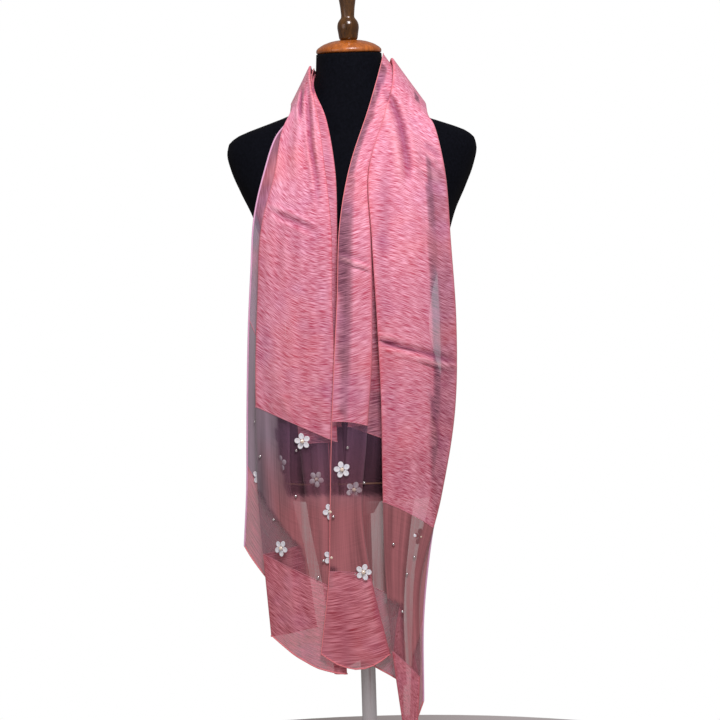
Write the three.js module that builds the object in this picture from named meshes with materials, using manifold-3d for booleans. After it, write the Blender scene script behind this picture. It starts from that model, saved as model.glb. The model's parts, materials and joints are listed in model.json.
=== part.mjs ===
// A long crepe scarf with sheer, flower-sewn bands near its two ends, worn round the neck of a
// limbless dress form on a pole stand.
// Millimetres. +Z is up, the tails hang on the -Y side, +X is to the right of a viewer in front.
// The origin is on the floor at the pole's axis.
import * as THREE from "three";
import { mergeVertices } from "three/addons/utils/BufferGeometryUtils.js";
import Module from "manifold-3d";

// ---- driving sizes ----
const WALL = 1.2; // thickness of the cloth walls
const SEAM_GAP = 0.3; // clearance between touching pieces
const CLOTH_GAP = 1.4; // the same along a sewn seam, where the two edges lean
const LAYER = 4; // spacing of the folded layers
const SHEER_BAND = 212; // height of a sheer band, along the cloth
const END_BAND = 118; // height of the crepe band below it
const TAIL_TOP = 1040; // height at which a tail starts to hang straight
const FLOWER_R = 11.5; // outer radius of a flower
const FLOWER_T = 1.4; // thickness of its petals
const FLOWER_GAP = 0.75; // clearance behind it, because the cloth is a little round

const NECK_TOP = 1204;
const NECK_TILT = THREE.MathUtils.degToRad(8); // the neck's top leans forward
const FORM_BOTTOM = 540;
const BAND_TOP = 570; // top of the tape band round the form's lower edge
const POLE_R = 11;
const BASE_R = 160;
const BASE_H = 22;

// ---- the scarf's folds ----
// Across its width the scarf is folded into seven panels between eight edges, listed from the inner
// selvedge to the outer one. Layer numbers count outwards from the body.
const PANEL_LAYERS = [2, 1, 0, 3, 4, 3, 2];
const FOLD_BULGE = 2.4; // how far a fold's round edge stands out past its panels
const WIDE_FOLD_BULGE = 5; // the same where a fold wraps round other panels

// Distance of each edge from the middle plane, outwards, at these heights, and the hem's height.
const TAIL_LEVELS = [1040, 950, 790, 690, 550, 430, 300, 190];
const LEFT_TAIL = [
  { edge: "inner_selvedge", out: [60, 48, 48, 48, 44, 34, 18, 18], hem: 345 },
  { edge: "hidden_fold", out: [74, 72, 75, 75, 68, 48, 30, 30], hem: 340 },
  { edge: "inner_strip_edge", out: [25, 24, 28, 28, 24, 14, 0, 0], hem: 322 },
  { edge: "tucked_fold", out: [88, 92, 95, 92, 84, 61, 48, 48], hem: 300 },
  { edge: "front_panel_inner", out: [41, 32, 35, 33, 34, 34, 30, 30], hem: 300 },
  { edge: "front_panel_outer", out: [107, 134, 147, 151, 151, 144, 134, 130], hem: 352 },
  { edge: "back_panel_fold", out: [98, 104, 104, 101, 102, 75, 66, 66], hem: 367 },
  { edge: "outer_selvedge", out: [124, 146, 158, 163, 168, 178, 178, 178], hem: 480 },
];
const RIGHT_TAIL = [
  { edge: "inner_selvedge", out: [0, -20, -30, -39, -46, -52, -70, -74], hem: 330 },
  { edge: "middle_panel_outer", out: [24, 24, 22, 16, -3, 10, 38, 44], hem: 326 },
  { edge: "hidden_fold", out: [6, 0, -6, -14, -28, -24, -10, -8], hem: 322 },
  { edge: "tucked_fold", out: [99, 97, 101, 98, 74, 54, 54, 54], hem: 284 },
  { edge: "front_panel_inner", out: [23, 23, 28, 30, 28, 28, 37, 51], hem: 214 },
  { edge: "front_panel_outer", out: [133, 137, 142, 140, 113, 79, 74, 64], hem: 178 },
  { edge: "back_panel_fold", out: [112, 115, 118, 116, 98, 66, 62, 54], hem: 212 },
  { edge: "outer_selvedge", out: [128, 132, 137, 134, 111, 82, 79, 74], hem: 258 },
];
// How far the hem sags below the straight line between a panel's two edges.
const LEFT_SAG = [0, 0, 0, 0, 12, 0, 6];
const RIGHT_SAG = [20, 0, 0, 0, 14, 0, 0];

// How far in front of the pole's axis the innermost layer hangs, at the tail levels.
const LEFT_DEPTH = [86, 110, 116, 116, 115, 114, 113, 112];
const RIGHT_DEPTH = [92, 118, 129, 129, 128, 127, 126, 125];
const TAIL_CURL = 0.0017; // the tails bend back round the body, mm per mm squared

// Sections round the neck, from the left tail to the right one. Each runs from an inner point
// towards an outer one, and its layers stack up in the direction `away`.
const NECK_SECTIONS = [
  { inner: [-34, -66, 1100], outer: [-104, -54, 1072], away: [-0.15, -0.8, 0.58] },
  { inner: [-44, -44, 1148], outer: [-86, -50, 1096], away: [-0.4, -0.7, 0.6] },
  { inner: [-42, -2, 1188], outer: [-80, 6, 1116], away: [-0.88, 0.05, 0.47] },
  { inner: [-38, 42, 1194], outer: [-82, 68, 1098], away: [-0.55, 0.6, 0.5] },
  { inner: [0, 57, 1198], outer: [0, 82, 1080], away: [0, 0.9, 0.42] },
  { inner: [38, 43, 1203], outer: [92, 70, 1092], away: [0.55, 0.6, 0.5] },
  { inner: [40, 2, 1207], outer: [104, 8, 1112], away: [0.83, 0.05, 0.56] },
  { inner: [38, -42, 1164], outer: [106, -46, 1092], away: [0.42, -0.7, 0.5] },
  { inner: [22, -68, 1106], outer: [116, -57, 1076], away: [0.1, -0.8, 0.55] },
];
// Distance of each edge from the inner point, one column for each section.
const NECK_EDGES = [
  [22, 16, 10, 12, 12, 10, 9, 2, 2],
  [42, 38, 34, 46, 54, 52, 40, 34, 30],
  [2, 10, 21, 8, 6, 10, 22, 14, 12],
  [50, 46, 52, 66, 82, 84, 74, 70, 74],
  [10, 8, 8, 12, 14, 18, 22, 26, 26],
  [68, 60, 74, 96, 116, 120, 106, 101, 101],
  [57, 52, 59, 76, 92, 94, 84, 82, 84],
  [80, 70, 80, 104, 118, 114, 100, 95, 96],
];

// ---- small helpers ----
const vec = (p) => new THREE.Vector3(...p);
const lerp = THREE.MathUtils.lerp;

// The value of a row of numbers at a height, between the tail levels.
function atHeight(row, z) {
  let k = 0;
  while (k < TAIL_LEVELS.length - 2 && z < TAIL_LEVELS[k + 1]) k += 1;
  const share = (TAIL_LEVELS[k] - z) / (TAIL_LEVELS[k] - TAIL_LEVELS[k + 1]);
  return lerp(row[k], row[k + 1], THREE.MathUtils.clamp(share, 0, 1));
}

// ---- columns across the cloth ----
const PANEL_STEPS = 3;
const FOLD_STEPS = 3;

// A column is a thread that runs the length of the scarf. It lies a share of the way across a
// panel, or on the round of a fold: `pull` moves it back from the edge and `depth` sets its layer.
function columnsAcross(panelSteps, foldSteps) {
  const columns = [];
  PANEL_LAYERS.forEach((layer, panel) => {
    const heading = panel % 2 === 0 ? 1 : -1;
    const from = panel === 0 ? 0 : foldOf(panel).bulge;
    const to = panel === PANEL_LAYERS.length - 1 ? 0 : foldOf(panel + 1).bulge;
    for (let k = 0; k <= panelSteps; k += 1) {
      const share = k / panelSteps;
      const pull = heading * lerp(from, -to, share);
      columns.push({ panel, share, pull, depth: layer * LAYER });
    }
    if (panel < PANEL_LAYERS.length - 1) {
      const fold = foldOf(panel + 1);
      for (let k = 1; k < foldSteps; k += 1) {
        const turn = Math.PI * (k / foldSteps - 0.5);
        const pull = heading * fold.bulge * (Math.cos(turn) - 1);
        const depth = fold.middle + fold.half * Math.sin(turn);
        columns.push({ panel, share: 1, pull, depth });
      }
    }
  });
  return columns;
}

function foldOf(edge) {
  const before = PANEL_LAYERS[edge - 1] * LAYER;
  const after = PANEL_LAYERS[edge] * LAYER;
  const half = (after - before) / 2;
  const wide = Math.abs(half) > LAYER;
  return { half, middle: (before + after) / 2, bulge: wide ? WIDE_FOLD_BULGE : FOLD_BULGE };
}

// ---- one thread's path ----
const sagOf = ({ panel, share }, sag) => sag[panel] * Math.sin(Math.PI * share);
const TAIL_SHARES = [0.03, 0.15, 0.29, 0.43, 0.57, 0.71, 0.85, 1]; // control heights, from the tail's top to its hem

function tailPoints(column, tail, sag, depths, side) {
  const { panel, share } = column;
  const ends = [tail[panel], tail[panel + 1]];
  const hem = lerp(ends[0].hem, ends[1].hem, share) - sagOf(column, sag);
  return TAIL_SHARES.map((down) => {
    const z = lerp(TAIL_TOP, hem, down);
    const across = lerp(atHeight(ends[0].out, z), atHeight(ends[1].out, z), share) + column.pull;
    const y = -atHeight(depths, z) - column.depth + TAIL_CURL * across * across;
    return new THREE.Vector3(side * across, y, z);
  });
}

function neckPoints(column) {
  const { panel, share } = column;
  return NECK_SECTIONS.map((section, k) => {
    const across = vec(section.outer).sub(vec(section.inner)).normalize();
    const away = vec(section.away);
    away.addScaledVector(across, -away.dot(across)).normalize();
    const along = lerp(NECK_EDGES[panel][k], NECK_EDGES[panel + 1][k], share) + column.pull;
    return vec(section.inner).addScaledVector(across, along).addScaledVector(away, column.depth);
  });
}

// From the left hem, up and round the neck, and down to the right hem.
function threadOf(column) {
  const points = [
    ...tailPoints(column, LEFT_TAIL, LEFT_SAG, LEFT_DEPTH, -1).reverse(),
    ...neckPoints(column),
    ...tailPoints(column, RIGHT_TAIL, RIGHT_SAG, RIGHT_DEPTH, 1),
  ];
  const thread = new THREE.CatmullRomCurve3(points, false, "centripetal");
  thread.arcLengthDivisions = 400;
  thread.leftSag = sagOf(column, LEFT_SAG);
  thread.rightSag = sagOf(column, RIGHT_SAG);
  return thread;
}

// ---- cloth walls ----
// rows[i][j] holds a point in the middle of the cloth and the thread's direction there. The wall
// has a face on each side of the middle and a rim all round.
function wallOf(rows) {
  const height = rows.length;
  const width = rows[0].length;
  const clampColumn = (j) => Math.min(Math.max(j, 0), width - 1);
  const normalAt = (row, j) => {
    const over = row[clampColumn(j + 1)].point.clone().sub(row[clampColumn(j - 1)].point);
    return row[j].along.clone().cross(over).normalize();
  };
  const face = (side) =>
    rows.flatMap((row) =>
      row.map(({ point }, j) => point.clone().addScaledVector(normalAt(row, j), (side * WALL) / 2)),
    );
  const points = [...face(1), ...face(-1)];
  const at = (i, j, back) => (back ? height * width : 0) + i * width + j;
  const index = [];
  const quad = (a, b, c, d) => index.push(a, b, c, a, c, d);
  for (let i = 0; i < height - 1; i += 1) {
    for (let j = 0; j < width - 1; j += 1) {
      quad(at(i, j), at(i + 1, j), at(i + 1, j + 1), at(i, j + 1));
      quad(at(i, j, true), at(i, j + 1, true), at(i + 1, j + 1, true), at(i + 1, j, true));
    }
    quad(at(i, 0), at(i, 0, true), at(i + 1, 0, true), at(i + 1, 0));
    const last = width - 1;
    quad(at(i, last), at(i + 1, last), at(i + 1, last, true), at(i, last, true));
  }
  for (let j = 0; j < width - 1; j += 1) {
    quad(at(0, j), at(0, j + 1), at(0, j + 1, true), at(0, j, true));
    const last = height - 1;
    quad(at(last, j), at(last, j, true), at(last, j + 1, true), at(last, j + 1));
  }
  const geometry = new THREE.BufferGeometry().setFromPoints(points);
  geometry.setIndex(index);
  return geometry;
}

const threads = columnsAcross(PANEL_STEPS, FOLD_STEPS).map(threadOf);
const THREAD_STATIONS = 2 * TAIL_SHARES.length + NECK_SECTIONS.length;

// A piece of the scarf between two cuts. A cut gives its distance along each thread.
function clothPiece(firstCut, lastCut, steps) {
  const rows = Array.from({ length: steps + 1 }, () => []);
  for (const thread of threads) {
    const from = thread.getUtoTmapping(firstCut(thread) / thread.getLength());
    const to = thread.getUtoTmapping(lastCut(thread) / thread.getLength());
    rows.forEach((row, i) => {
      const t = lerp(from, to, i / steps);
      row.push({ point: thread.getPoint(t), along: thread.getTangent(t) });
    });
  }
  return wallOf(rows);
}

// Cuts at the hems, at a height above each hem, and at a neck section. The hems are cut a little
// round and the seams straight, so a seam's distance from the hem grows by the hem's sag.
const SEAM = CLOTH_GAP / 2;
const leftHem = () => 0;
const rightHem = (thread) => thread.getLength();
const fromLeft = (distance) => (thread) => distance + thread.leftSag;
const fromRight = (distance) => (thread) => thread.getLength() - distance - thread.rightSag;
function atSection(section, shift) {
  return (thread) => {
    const lengths = thread.getLengths();
    const place = ((TAIL_SHARES.length + section) / (THREAD_STATIONS - 1)) * (lengths.length - 1);
    const below = Math.floor(place);
    return lerp(lengths[below], lengths[below + 1], place - below) + shift;
  };
}

const MAIN = END_BAND + SHEER_BAND;
const LEFT_SHOULDER = 1;
const RIGHT_SHOULDER = NECK_SECTIONS.length - 2;
const clothPieces = {
  left_end_band: clothPiece(leftHem, fromLeft(END_BAND - SEAM), 3),
  left_sheer_band: clothPiece(fromLeft(END_BAND + SEAM), fromLeft(MAIN - SEAM), 5),
  left_front: clothPiece(fromLeft(MAIN + SEAM), atSection(LEFT_SHOULDER, -SEAM), 12),
  round_neck: clothPiece(atSection(LEFT_SHOULDER, SEAM), atSection(RIGHT_SHOULDER, -SEAM), 15),
  right_front: clothPiece(atSection(RIGHT_SHOULDER, SEAM), fromRight(MAIN + SEAM), 13),
  right_sheer_band: clothPiece(fromRight(MAIN - SEAM), fromRight(END_BAND + SEAM), 5),
  right_end_band: clothPiece(fromRight(END_BAND - SEAM), rightHem, 3),
};

// ---- the dress form ----
// Level sections of the torso: half width, and how far it reaches forwards and backwards.
const FORM_SECTIONS = [
  { z: 540, wide: 109, front: 84, back: 86 },
  { z: 547, wide: 115, front: 89, back: 92 },
  { z: 590, wide: 125, front: 93, back: 99 },
  { z: 640, wide: 132, front: 92, back: 100 },
  { z: 700, wide: 127, front: 84, back: 88 },
  { z: 755, wide: 113, front: 74, back: 71 },
  { z: 795, wide: 107, front: 70, back: 65 },
  { z: 840, wide: 113, front: 76, back: 69 },
  { z: 890, wide: 128, front: 90, back: 77 },
  { z: 930, wide: 141, front: 97, back: 84 },
  { z: 965, wide: 152, front: 93, back: 88 },
  { z: 1000, wide: 168, front: 82, back: 89 },
  { z: 1035, wide: 182, front: 68, back: 84 },
  { z: 1058, wide: 187, front: 60, back: 77 },
  { z: 1073, wide: 184, front: 55, back: 70 },
  { z: 1084, wide: 171, front: 52, back: 65 },
  { z: 1096, wide: 140, front: 51, back: 61 },
  { z: 1108, wide: 105, front: 50, back: 58 },
  { z: 1122, wide: 74, front: 49, back: 55 },
  { z: 1142, wide: 58, front: 48, back: 52 },
  { z: 1172, wide: 51, front: 48, back: 50 },
  { z: 1204, wide: 49, front: 48, back: 48 },
];
const FORM_SIDES = 44;
const ROUNDNESS = 2.3; // power of the sections' rounded outline: 2 is an ellipse
const BUST = { height: 925, apart: 62, rise: 11, spreadX: 38, spreadZ: 48 };

function formPoint(section, turn) {
  const power = 2 / ROUNDNESS;
  const cosine = Math.cos(turn);
  const sine = Math.sin(turn);
  const x = section.wide * Math.sign(cosine) * Math.abs(cosine) ** power;
  const reach = sine < 0 ? section.front : section.back;
  let y = reach * Math.sign(sine) * Math.abs(sine) ** power;
  if (y < 0) {
    const aside = (Math.abs(x) - BUST.apart) / BUST.spreadX;
    const above = (section.z - BUST.height) / BUST.spreadZ;
    y -= BUST.rise * Math.abs(sine) * Math.exp(-aside * aside - above * above);
  }
  const lean = THREE.MathUtils.smoothstep(section.z, 1142, NECK_TOP) * Math.tan(NECK_TILT);
  return new THREE.Vector3(x, y, section.z + y * lean);
}

function sectionAt(z) {
  const k = FORM_SECTIONS.findIndex((section, i) => i > 0 && z <= section.z);
  const [low, high] = [FORM_SECTIONS[k - 1], FORM_SECTIONS[k]];
  const share = (z - low.z) / (high.z - low.z);
  const mix = (name) => lerp(low[name], high[name], share);
  return { z, wide: mix("wide"), front: mix("front"), back: mix("back") };
}

// A closed solid through level sections, capped flat at both ends.
function loft(sections) {
  const points = sections.flatMap((section) =>
    Array.from({ length: FORM_SIDES }, (_, k) => formPoint(section, (k / FORM_SIDES) * 2 * Math.PI)),
  );
  const index = [];
  const at = (ring, k) => ring * FORM_SIDES + (k % FORM_SIDES);
  for (let ring = 0; ring < sections.length - 1; ring += 1) {
    for (let k = 0; k < FORM_SIDES; k += 1) {
      index.push(at(ring, k), at(ring, k + 1), at(ring + 1, k + 1));
      index.push(at(ring, k), at(ring + 1, k + 1), at(ring + 1, k));
    }
  }
  const top = sections.length - 1;
  for (let k = 1; k < FORM_SIDES - 1; k += 1) {
    index.push(at(0, 0), at(0, k + 1), at(0, k));
    index.push(at(top, 0), at(top, k), at(top, k + 1));
  }
  const geometry = new THREE.BufferGeometry().setFromPoints(points);
  geometry.setIndex(index);
  return geometry;
}

const torsoSections = [
  sectionAt(BAND_TOP + SEAM_GAP),
  ...FORM_SECTIONS.filter((section) => section.z > BAND_TOP + 5),
];
const bandSections = [
  ...FORM_SECTIONS.filter((section) => section.z < BAND_TOP),
  sectionAt(BAND_TOP),
];

// A turned piece: [radius, height] pairs from the axis at the bottom to the axis at the top.
function turned(profile, sides = 32) {
  const points = profile.map(([radius, height]) => new THREE.Vector2(radius, height));
  return new THREE.LatheGeometry(points, sides).rotateX(Math.PI / 2);
}

const CAP_R = 49;
const CAP_H = 20;
const capProfile = [
  [0, 0], [46, 0], [CAP_R, 2], [CAP_R, 6], [46.5, 9], [39, 14], [28, 18], [18, CAP_H], [0, CAP_H],
];
const finialProfile = [
  [0, 0], [13.6, 0], [14.6, 8], [16.3, 18], [15.8, 24], [13.5, 29], [9.8, 33], [9.9, 38],
  [10.8, 48], [12.6, 60], [15.6, 72], [17, 82], [15.6, 91], [10.5, 97.5], [0, 100],
];
const baseProfile = [
  [0, 0], [BASE_R - 4, 0], [BASE_R, 4], [BASE_R, 12], [BASE_R - 5, 18], [BASE_R - 18, BASE_H],
  [0, BASE_H],
];
const collarProfile = [[0, 0], [30, 0], [30, 5], [19, 12], [16, 24], [0, 24]];
const POLE_START = BASE_H + SEAM_GAP;
const POLE_LENGTH = FORM_BOTTOM - SEAM_GAP - POLE_START;

// ---- flowers ----
// Each is sewn flat on one panel of a sheer band: how far across the panel, how far above the hem
// along the cloth, which face it is on (1 shows to the front on an outward panel), and its turn.
const FLOWERS = [
  { tail: "left", panel: 4, across: 0.42, up: 322, face: 1, turn: 10 },
  { tail: "left", panel: 4, across: 0.74, up: 150, face: 1, turn: 40 },
  { tail: "left", panel: 4, across: 0.1, up: 230, face: 1, turn: 25 },
  { tail: "left", panel: 4, across: 0.11, up: 165, face: 1, turn: 55 },
  { tail: "left", panel: 6, across: 0.7, up: 140, face: 1, turn: 60 },
  { tail: "left", panel: 3, across: 0.36, up: 278, face: -1, turn: 30 },
  { tail: "left", panel: 5, across: 0.68, up: 240, face: -1, turn: 5 },
  { tail: "right", panel: 0, across: 0.34, up: 280, face: 1, turn: 12 },
  { tail: "right", panel: 0, across: 0.84, up: 130, face: 1, turn: 55 },
  { tail: "right", panel: 2, across: 0.13, up: 245, face: 1, turn: 48 },
  { tail: "right", panel: 3, across: 0.71, up: 279, face: -1, turn: 20 },
  { tail: "right", panel: 4, across: 0.78, up: 317, face: -1, turn: 70 },
];
const PETALS = 5;
const PETAL_NOTCH = 0.5; // depth of the notch between two petals, as a share of the radius

function flowerGeometry() {
  const outline = [];
  const steps = PETALS * 6;
  for (let k = 0; k < steps; k += 1) {
    const turn = (k / steps) * 2 * Math.PI;
    const lobe = Math.abs(Math.cos((PETALS * turn) / 2)) ** 0.55;
    const radius = FLOWER_R * (1 - PETAL_NOTCH + PETAL_NOTCH * lobe);
    outline.push(new THREE.Vector2(radius * Math.cos(turn), radius * Math.sin(turn)));
  }
  const shape = new THREE.Shape(outline);
  return new THREE.ExtrudeGeometry(shape, { depth: FLOWER_T, bevelEnabled: false });
}

// The cloth's middle point and normal at a place on a panel.
function onPanel({ tail, panel, across, up }) {
  const layer = PANEL_LAYERS[panel] * LAYER;
  const place = (share, height) => {
    const thread = threadOf({ panel, share, pull: 0, depth: layer });
    const length = thread.getLength();
    return thread.getPointAt((tail === "left" ? height : length - height) / length);
  };
  const step = 2;
  const point = place(across, up);
  const rise = place(across, up + step).sub(point);
  const over = place(Math.min(across + 0.03, 1), up).sub(point);
  const normal = rise.cross(over).normalize();
  if (normal.y > 0) normal.negate();
  return { point, normal };
}

function flowerMesh(flower, material) {
  const { point, normal } = onPanel(flower);
  const facing = normal.clone().multiplyScalar(flower.face);
  const mesh = new THREE.Mesh(flowerGeometry(), material);
  const lift = WALL / 2 + FLOWER_GAP;
  mesh.quaternion.setFromUnitVectors(new THREE.Vector3(0, 0, 1), facing);
  mesh.rotateZ(THREE.MathUtils.degToRad(flower.turn));
  mesh.position.copy(point).addScaledVector(facing, lift);
  return mesh;
}

// ---- materials ----
const paint = (color, roughness, metalness = 0) =>
  new THREE.MeshStandardMaterial({ color, roughness, metalness });
const CREPE = paint(0xd8647c, 0.7);
const SHEER = paint(0x9a7286, 0.5);
const JERSEY = paint(0x0a0c14, 0.9);
const TAPE = paint(0x2a1416, 0.8);
const CAP_WOOD = paint(0xb0622c, 0.35);
const DARK_WOOD = paint(0x5a3a14, 0.35);
const STEEL = paint(0xc9ccd0, 0.3, 0.9);
const SHELL = paint(0xf4f2ee, 0.3);

// ---- assembly ----
const part = new THREE.Group();

function add(name, geometry, material) {
  const mesh = new THREE.Mesh(geometry, material);
  mesh.name = name;
  part.add(mesh);
  return mesh;
}

for (const [name, geometry] of Object.entries(clothPieces)) {
  add(name, geometry, name.includes("sheer") ? SHEER : CREPE);
}
FLOWERS.forEach((flower, k) => {
  const mesh = flowerMesh(flower, SHELL);
  mesh.name = `flower_${k + 1}`;
  part.add(mesh);
});

add("form_torso", loft(torsoSections), JERSEY);
add("form_lower_band", loft(bandSections), TAPE);

const head = new THREE.Group();
head.position.set(0, 0, NECK_TOP + SEAM_GAP);
head.rotation.x = NECK_TILT;
part.add(head);
const cap = new THREE.Mesh(turned(capProfile, 40), CAP_WOOD);
cap.name = "neck_cap";
head.add(cap);
const finial = new THREE.Mesh(turned(finialProfile, 28), DARK_WOOD);
finial.name = "finial";
finial.position.z = CAP_H + SEAM_GAP;
head.add(finial);

add("base_disc", turned(baseProfile, 48), CAP_WOOD);
add("pole", new THREE.CylinderGeometry(POLE_R, POLE_R, POLE_LENGTH, 28).rotateX(Math.PI / 2), STEEL)
  .position.set(0, 0, POLE_START + POLE_LENGTH / 2);

// A collar is bored out for the pole, and stands on the base or hangs under the form.
const wasm = await Module();
wasm.setup();

function solidOf(geometry) {
  const bare = geometry.clone();
  bare.deleteAttribute("normal");
  bare.deleteAttribute("uv");
  const merged = mergeVertices(bare, 1e-3);
  return new wasm.Manifold(
    new wasm.Mesh({
      numProp: 3,
      vertProperties: new Float32Array(merged.attributes.position.array),
      triVerts: new Uint32Array(merged.index.array),
    }),
  );
}

function geometryOf(solid) {
  const mesh = solid.getMesh();
  const geometry = new THREE.BufferGeometry();
  geometry.setAttribute("position", new THREE.BufferAttribute(mesh.vertProperties, 3));
  return geometry.setIndex(new THREE.BufferAttribute(mesh.triVerts, 1));
}

const bore = new THREE.CylinderGeometry(POLE_R + SEAM_GAP, POLE_R + SEAM_GAP, 80, 28);
const collar = geometryOf(
  solidOf(turned(collarProfile, 28)).subtract(solidOf(bore.rotateX(Math.PI / 2))),
);
add("base_collar", collar, STEEL).position.z = BASE_H + SEAM_GAP;
const topCollar = add("form_collar", collar, STEEL);
topCollar.rotation.x = Math.PI;
topCollar.position.z = FORM_BOTTOM - SEAM_GAP;

export default part;
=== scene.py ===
# %% [markdown]
# # A sheer-banded scarf on a dress form
# The scarf is one long strip of pink slub crepe with a band of organza let in near each end. It
# hangs round the neck of a black, limbless dress form on a pole stand. Its seven layers are worked
# out from tables of folds, so that every hem, seam, flower and bead can find its place on the cloth.

# %% Load the frame
import json
import math

import bmesh
import bpy
import numpy as np
from mathutils import Matrix, Vector
from mathutils.bvhtree import BVHTree
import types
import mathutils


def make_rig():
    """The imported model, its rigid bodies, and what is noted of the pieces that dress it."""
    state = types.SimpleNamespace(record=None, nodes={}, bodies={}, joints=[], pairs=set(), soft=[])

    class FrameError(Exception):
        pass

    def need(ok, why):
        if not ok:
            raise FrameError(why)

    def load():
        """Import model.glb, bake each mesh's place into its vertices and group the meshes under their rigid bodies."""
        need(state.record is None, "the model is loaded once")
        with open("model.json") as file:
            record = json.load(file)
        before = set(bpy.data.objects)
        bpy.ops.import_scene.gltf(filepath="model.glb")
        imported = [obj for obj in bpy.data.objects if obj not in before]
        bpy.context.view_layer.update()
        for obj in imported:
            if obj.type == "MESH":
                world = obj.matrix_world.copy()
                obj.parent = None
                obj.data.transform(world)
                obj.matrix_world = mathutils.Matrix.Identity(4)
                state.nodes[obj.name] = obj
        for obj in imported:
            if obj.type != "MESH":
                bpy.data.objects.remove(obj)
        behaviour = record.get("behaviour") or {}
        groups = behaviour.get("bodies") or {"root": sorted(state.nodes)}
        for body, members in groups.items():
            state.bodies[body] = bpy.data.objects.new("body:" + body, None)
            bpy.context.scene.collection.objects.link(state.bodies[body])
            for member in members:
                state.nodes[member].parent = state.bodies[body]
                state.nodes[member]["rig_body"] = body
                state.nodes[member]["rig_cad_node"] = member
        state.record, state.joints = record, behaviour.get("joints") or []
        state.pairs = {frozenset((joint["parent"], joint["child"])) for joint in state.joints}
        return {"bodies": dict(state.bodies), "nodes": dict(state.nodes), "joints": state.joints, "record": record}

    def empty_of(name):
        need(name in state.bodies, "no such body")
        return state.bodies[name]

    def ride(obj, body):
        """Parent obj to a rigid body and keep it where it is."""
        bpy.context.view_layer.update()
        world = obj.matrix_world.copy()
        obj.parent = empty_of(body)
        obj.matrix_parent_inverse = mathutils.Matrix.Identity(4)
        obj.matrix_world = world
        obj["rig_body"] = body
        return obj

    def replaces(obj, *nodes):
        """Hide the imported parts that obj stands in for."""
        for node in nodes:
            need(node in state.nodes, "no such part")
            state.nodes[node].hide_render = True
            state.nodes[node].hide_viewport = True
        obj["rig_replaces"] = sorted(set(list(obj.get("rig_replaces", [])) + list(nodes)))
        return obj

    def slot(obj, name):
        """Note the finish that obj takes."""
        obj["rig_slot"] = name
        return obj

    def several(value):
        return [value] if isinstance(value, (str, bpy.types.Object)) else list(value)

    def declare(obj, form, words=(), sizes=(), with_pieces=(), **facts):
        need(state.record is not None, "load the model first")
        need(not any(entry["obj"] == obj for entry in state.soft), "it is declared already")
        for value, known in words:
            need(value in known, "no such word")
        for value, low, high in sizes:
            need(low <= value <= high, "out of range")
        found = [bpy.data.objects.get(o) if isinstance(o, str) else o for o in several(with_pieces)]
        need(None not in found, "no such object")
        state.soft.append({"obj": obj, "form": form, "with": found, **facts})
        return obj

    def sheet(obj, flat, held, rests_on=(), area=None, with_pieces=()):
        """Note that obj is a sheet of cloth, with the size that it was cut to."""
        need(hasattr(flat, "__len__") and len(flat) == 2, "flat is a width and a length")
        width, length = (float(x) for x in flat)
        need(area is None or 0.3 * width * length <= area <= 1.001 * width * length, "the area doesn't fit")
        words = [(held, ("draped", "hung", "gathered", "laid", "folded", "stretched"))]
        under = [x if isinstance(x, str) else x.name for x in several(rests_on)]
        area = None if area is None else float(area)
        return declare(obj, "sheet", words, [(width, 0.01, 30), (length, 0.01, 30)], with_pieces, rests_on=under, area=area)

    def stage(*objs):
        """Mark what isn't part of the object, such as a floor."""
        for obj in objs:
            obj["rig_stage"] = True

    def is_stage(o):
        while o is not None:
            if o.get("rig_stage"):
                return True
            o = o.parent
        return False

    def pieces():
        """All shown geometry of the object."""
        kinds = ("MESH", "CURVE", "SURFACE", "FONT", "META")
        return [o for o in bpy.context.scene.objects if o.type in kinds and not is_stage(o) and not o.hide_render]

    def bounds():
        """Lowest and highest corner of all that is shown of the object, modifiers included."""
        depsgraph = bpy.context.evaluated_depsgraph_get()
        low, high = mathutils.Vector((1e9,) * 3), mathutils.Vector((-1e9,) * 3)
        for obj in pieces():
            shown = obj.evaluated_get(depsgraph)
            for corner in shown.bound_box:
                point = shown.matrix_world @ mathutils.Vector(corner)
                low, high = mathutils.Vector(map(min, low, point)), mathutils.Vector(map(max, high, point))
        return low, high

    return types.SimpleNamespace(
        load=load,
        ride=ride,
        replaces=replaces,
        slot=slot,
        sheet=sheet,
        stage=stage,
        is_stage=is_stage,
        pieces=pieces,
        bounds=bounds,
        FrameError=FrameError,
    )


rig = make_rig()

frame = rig.load()
solid_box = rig.bounds()
MM = 0.001
print("solid parts:", len(frame["nodes"]), "box:", solid_box)

# %% [markdown]
# ## Camera
# The camera stands 2.4 m away at the height of the form's waist and is turned a little askew. A
# long lens keeps the cloth's proportions nearly flat.

# %% Camera
CAMERA_DISTANCE = 2.4
CAMERA_HEIGHT = 0.745
CAMERA_ASIDE = 0.00225
CAMERA_ROLL = math.radians(1.8)
FRAME_WIDTH = 1.08  # what the frame covers at the form's middle, in metres

camera_data = bpy.data.cameras.new("camera")
camera_data.sensor_width = 36
camera_data.lens = 36 * CAMERA_DISTANCE / FRAME_WIDTH
camera = bpy.data.objects.new("camera", camera_data)
right = Vector((math.cos(CAMERA_ROLL), 0, -math.sin(CAMERA_ROLL)))
up = Vector((math.sin(CAMERA_ROLL), 0, math.cos(CAMERA_ROLL)))
camera.matrix_world = Matrix.Translation((CAMERA_ASIDE, -CAMERA_DISTANCE, CAMERA_HEIGHT)) @ Matrix(
    (right, up, (0, -1, 0))
).transposed().to_4x4()
bpy.context.scene.collection.objects.link(camera)
bpy.context.scene.camera = camera
print("lens", round(camera_data.lens, 1), "mm")

# %% [markdown]
# ## Shader helpers
# Every finish here is built from nodes. `Nodes` is a short way to place a node, fill its sockets
# and pass its outputs on, so that a recipe reads from top to bottom.


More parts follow.
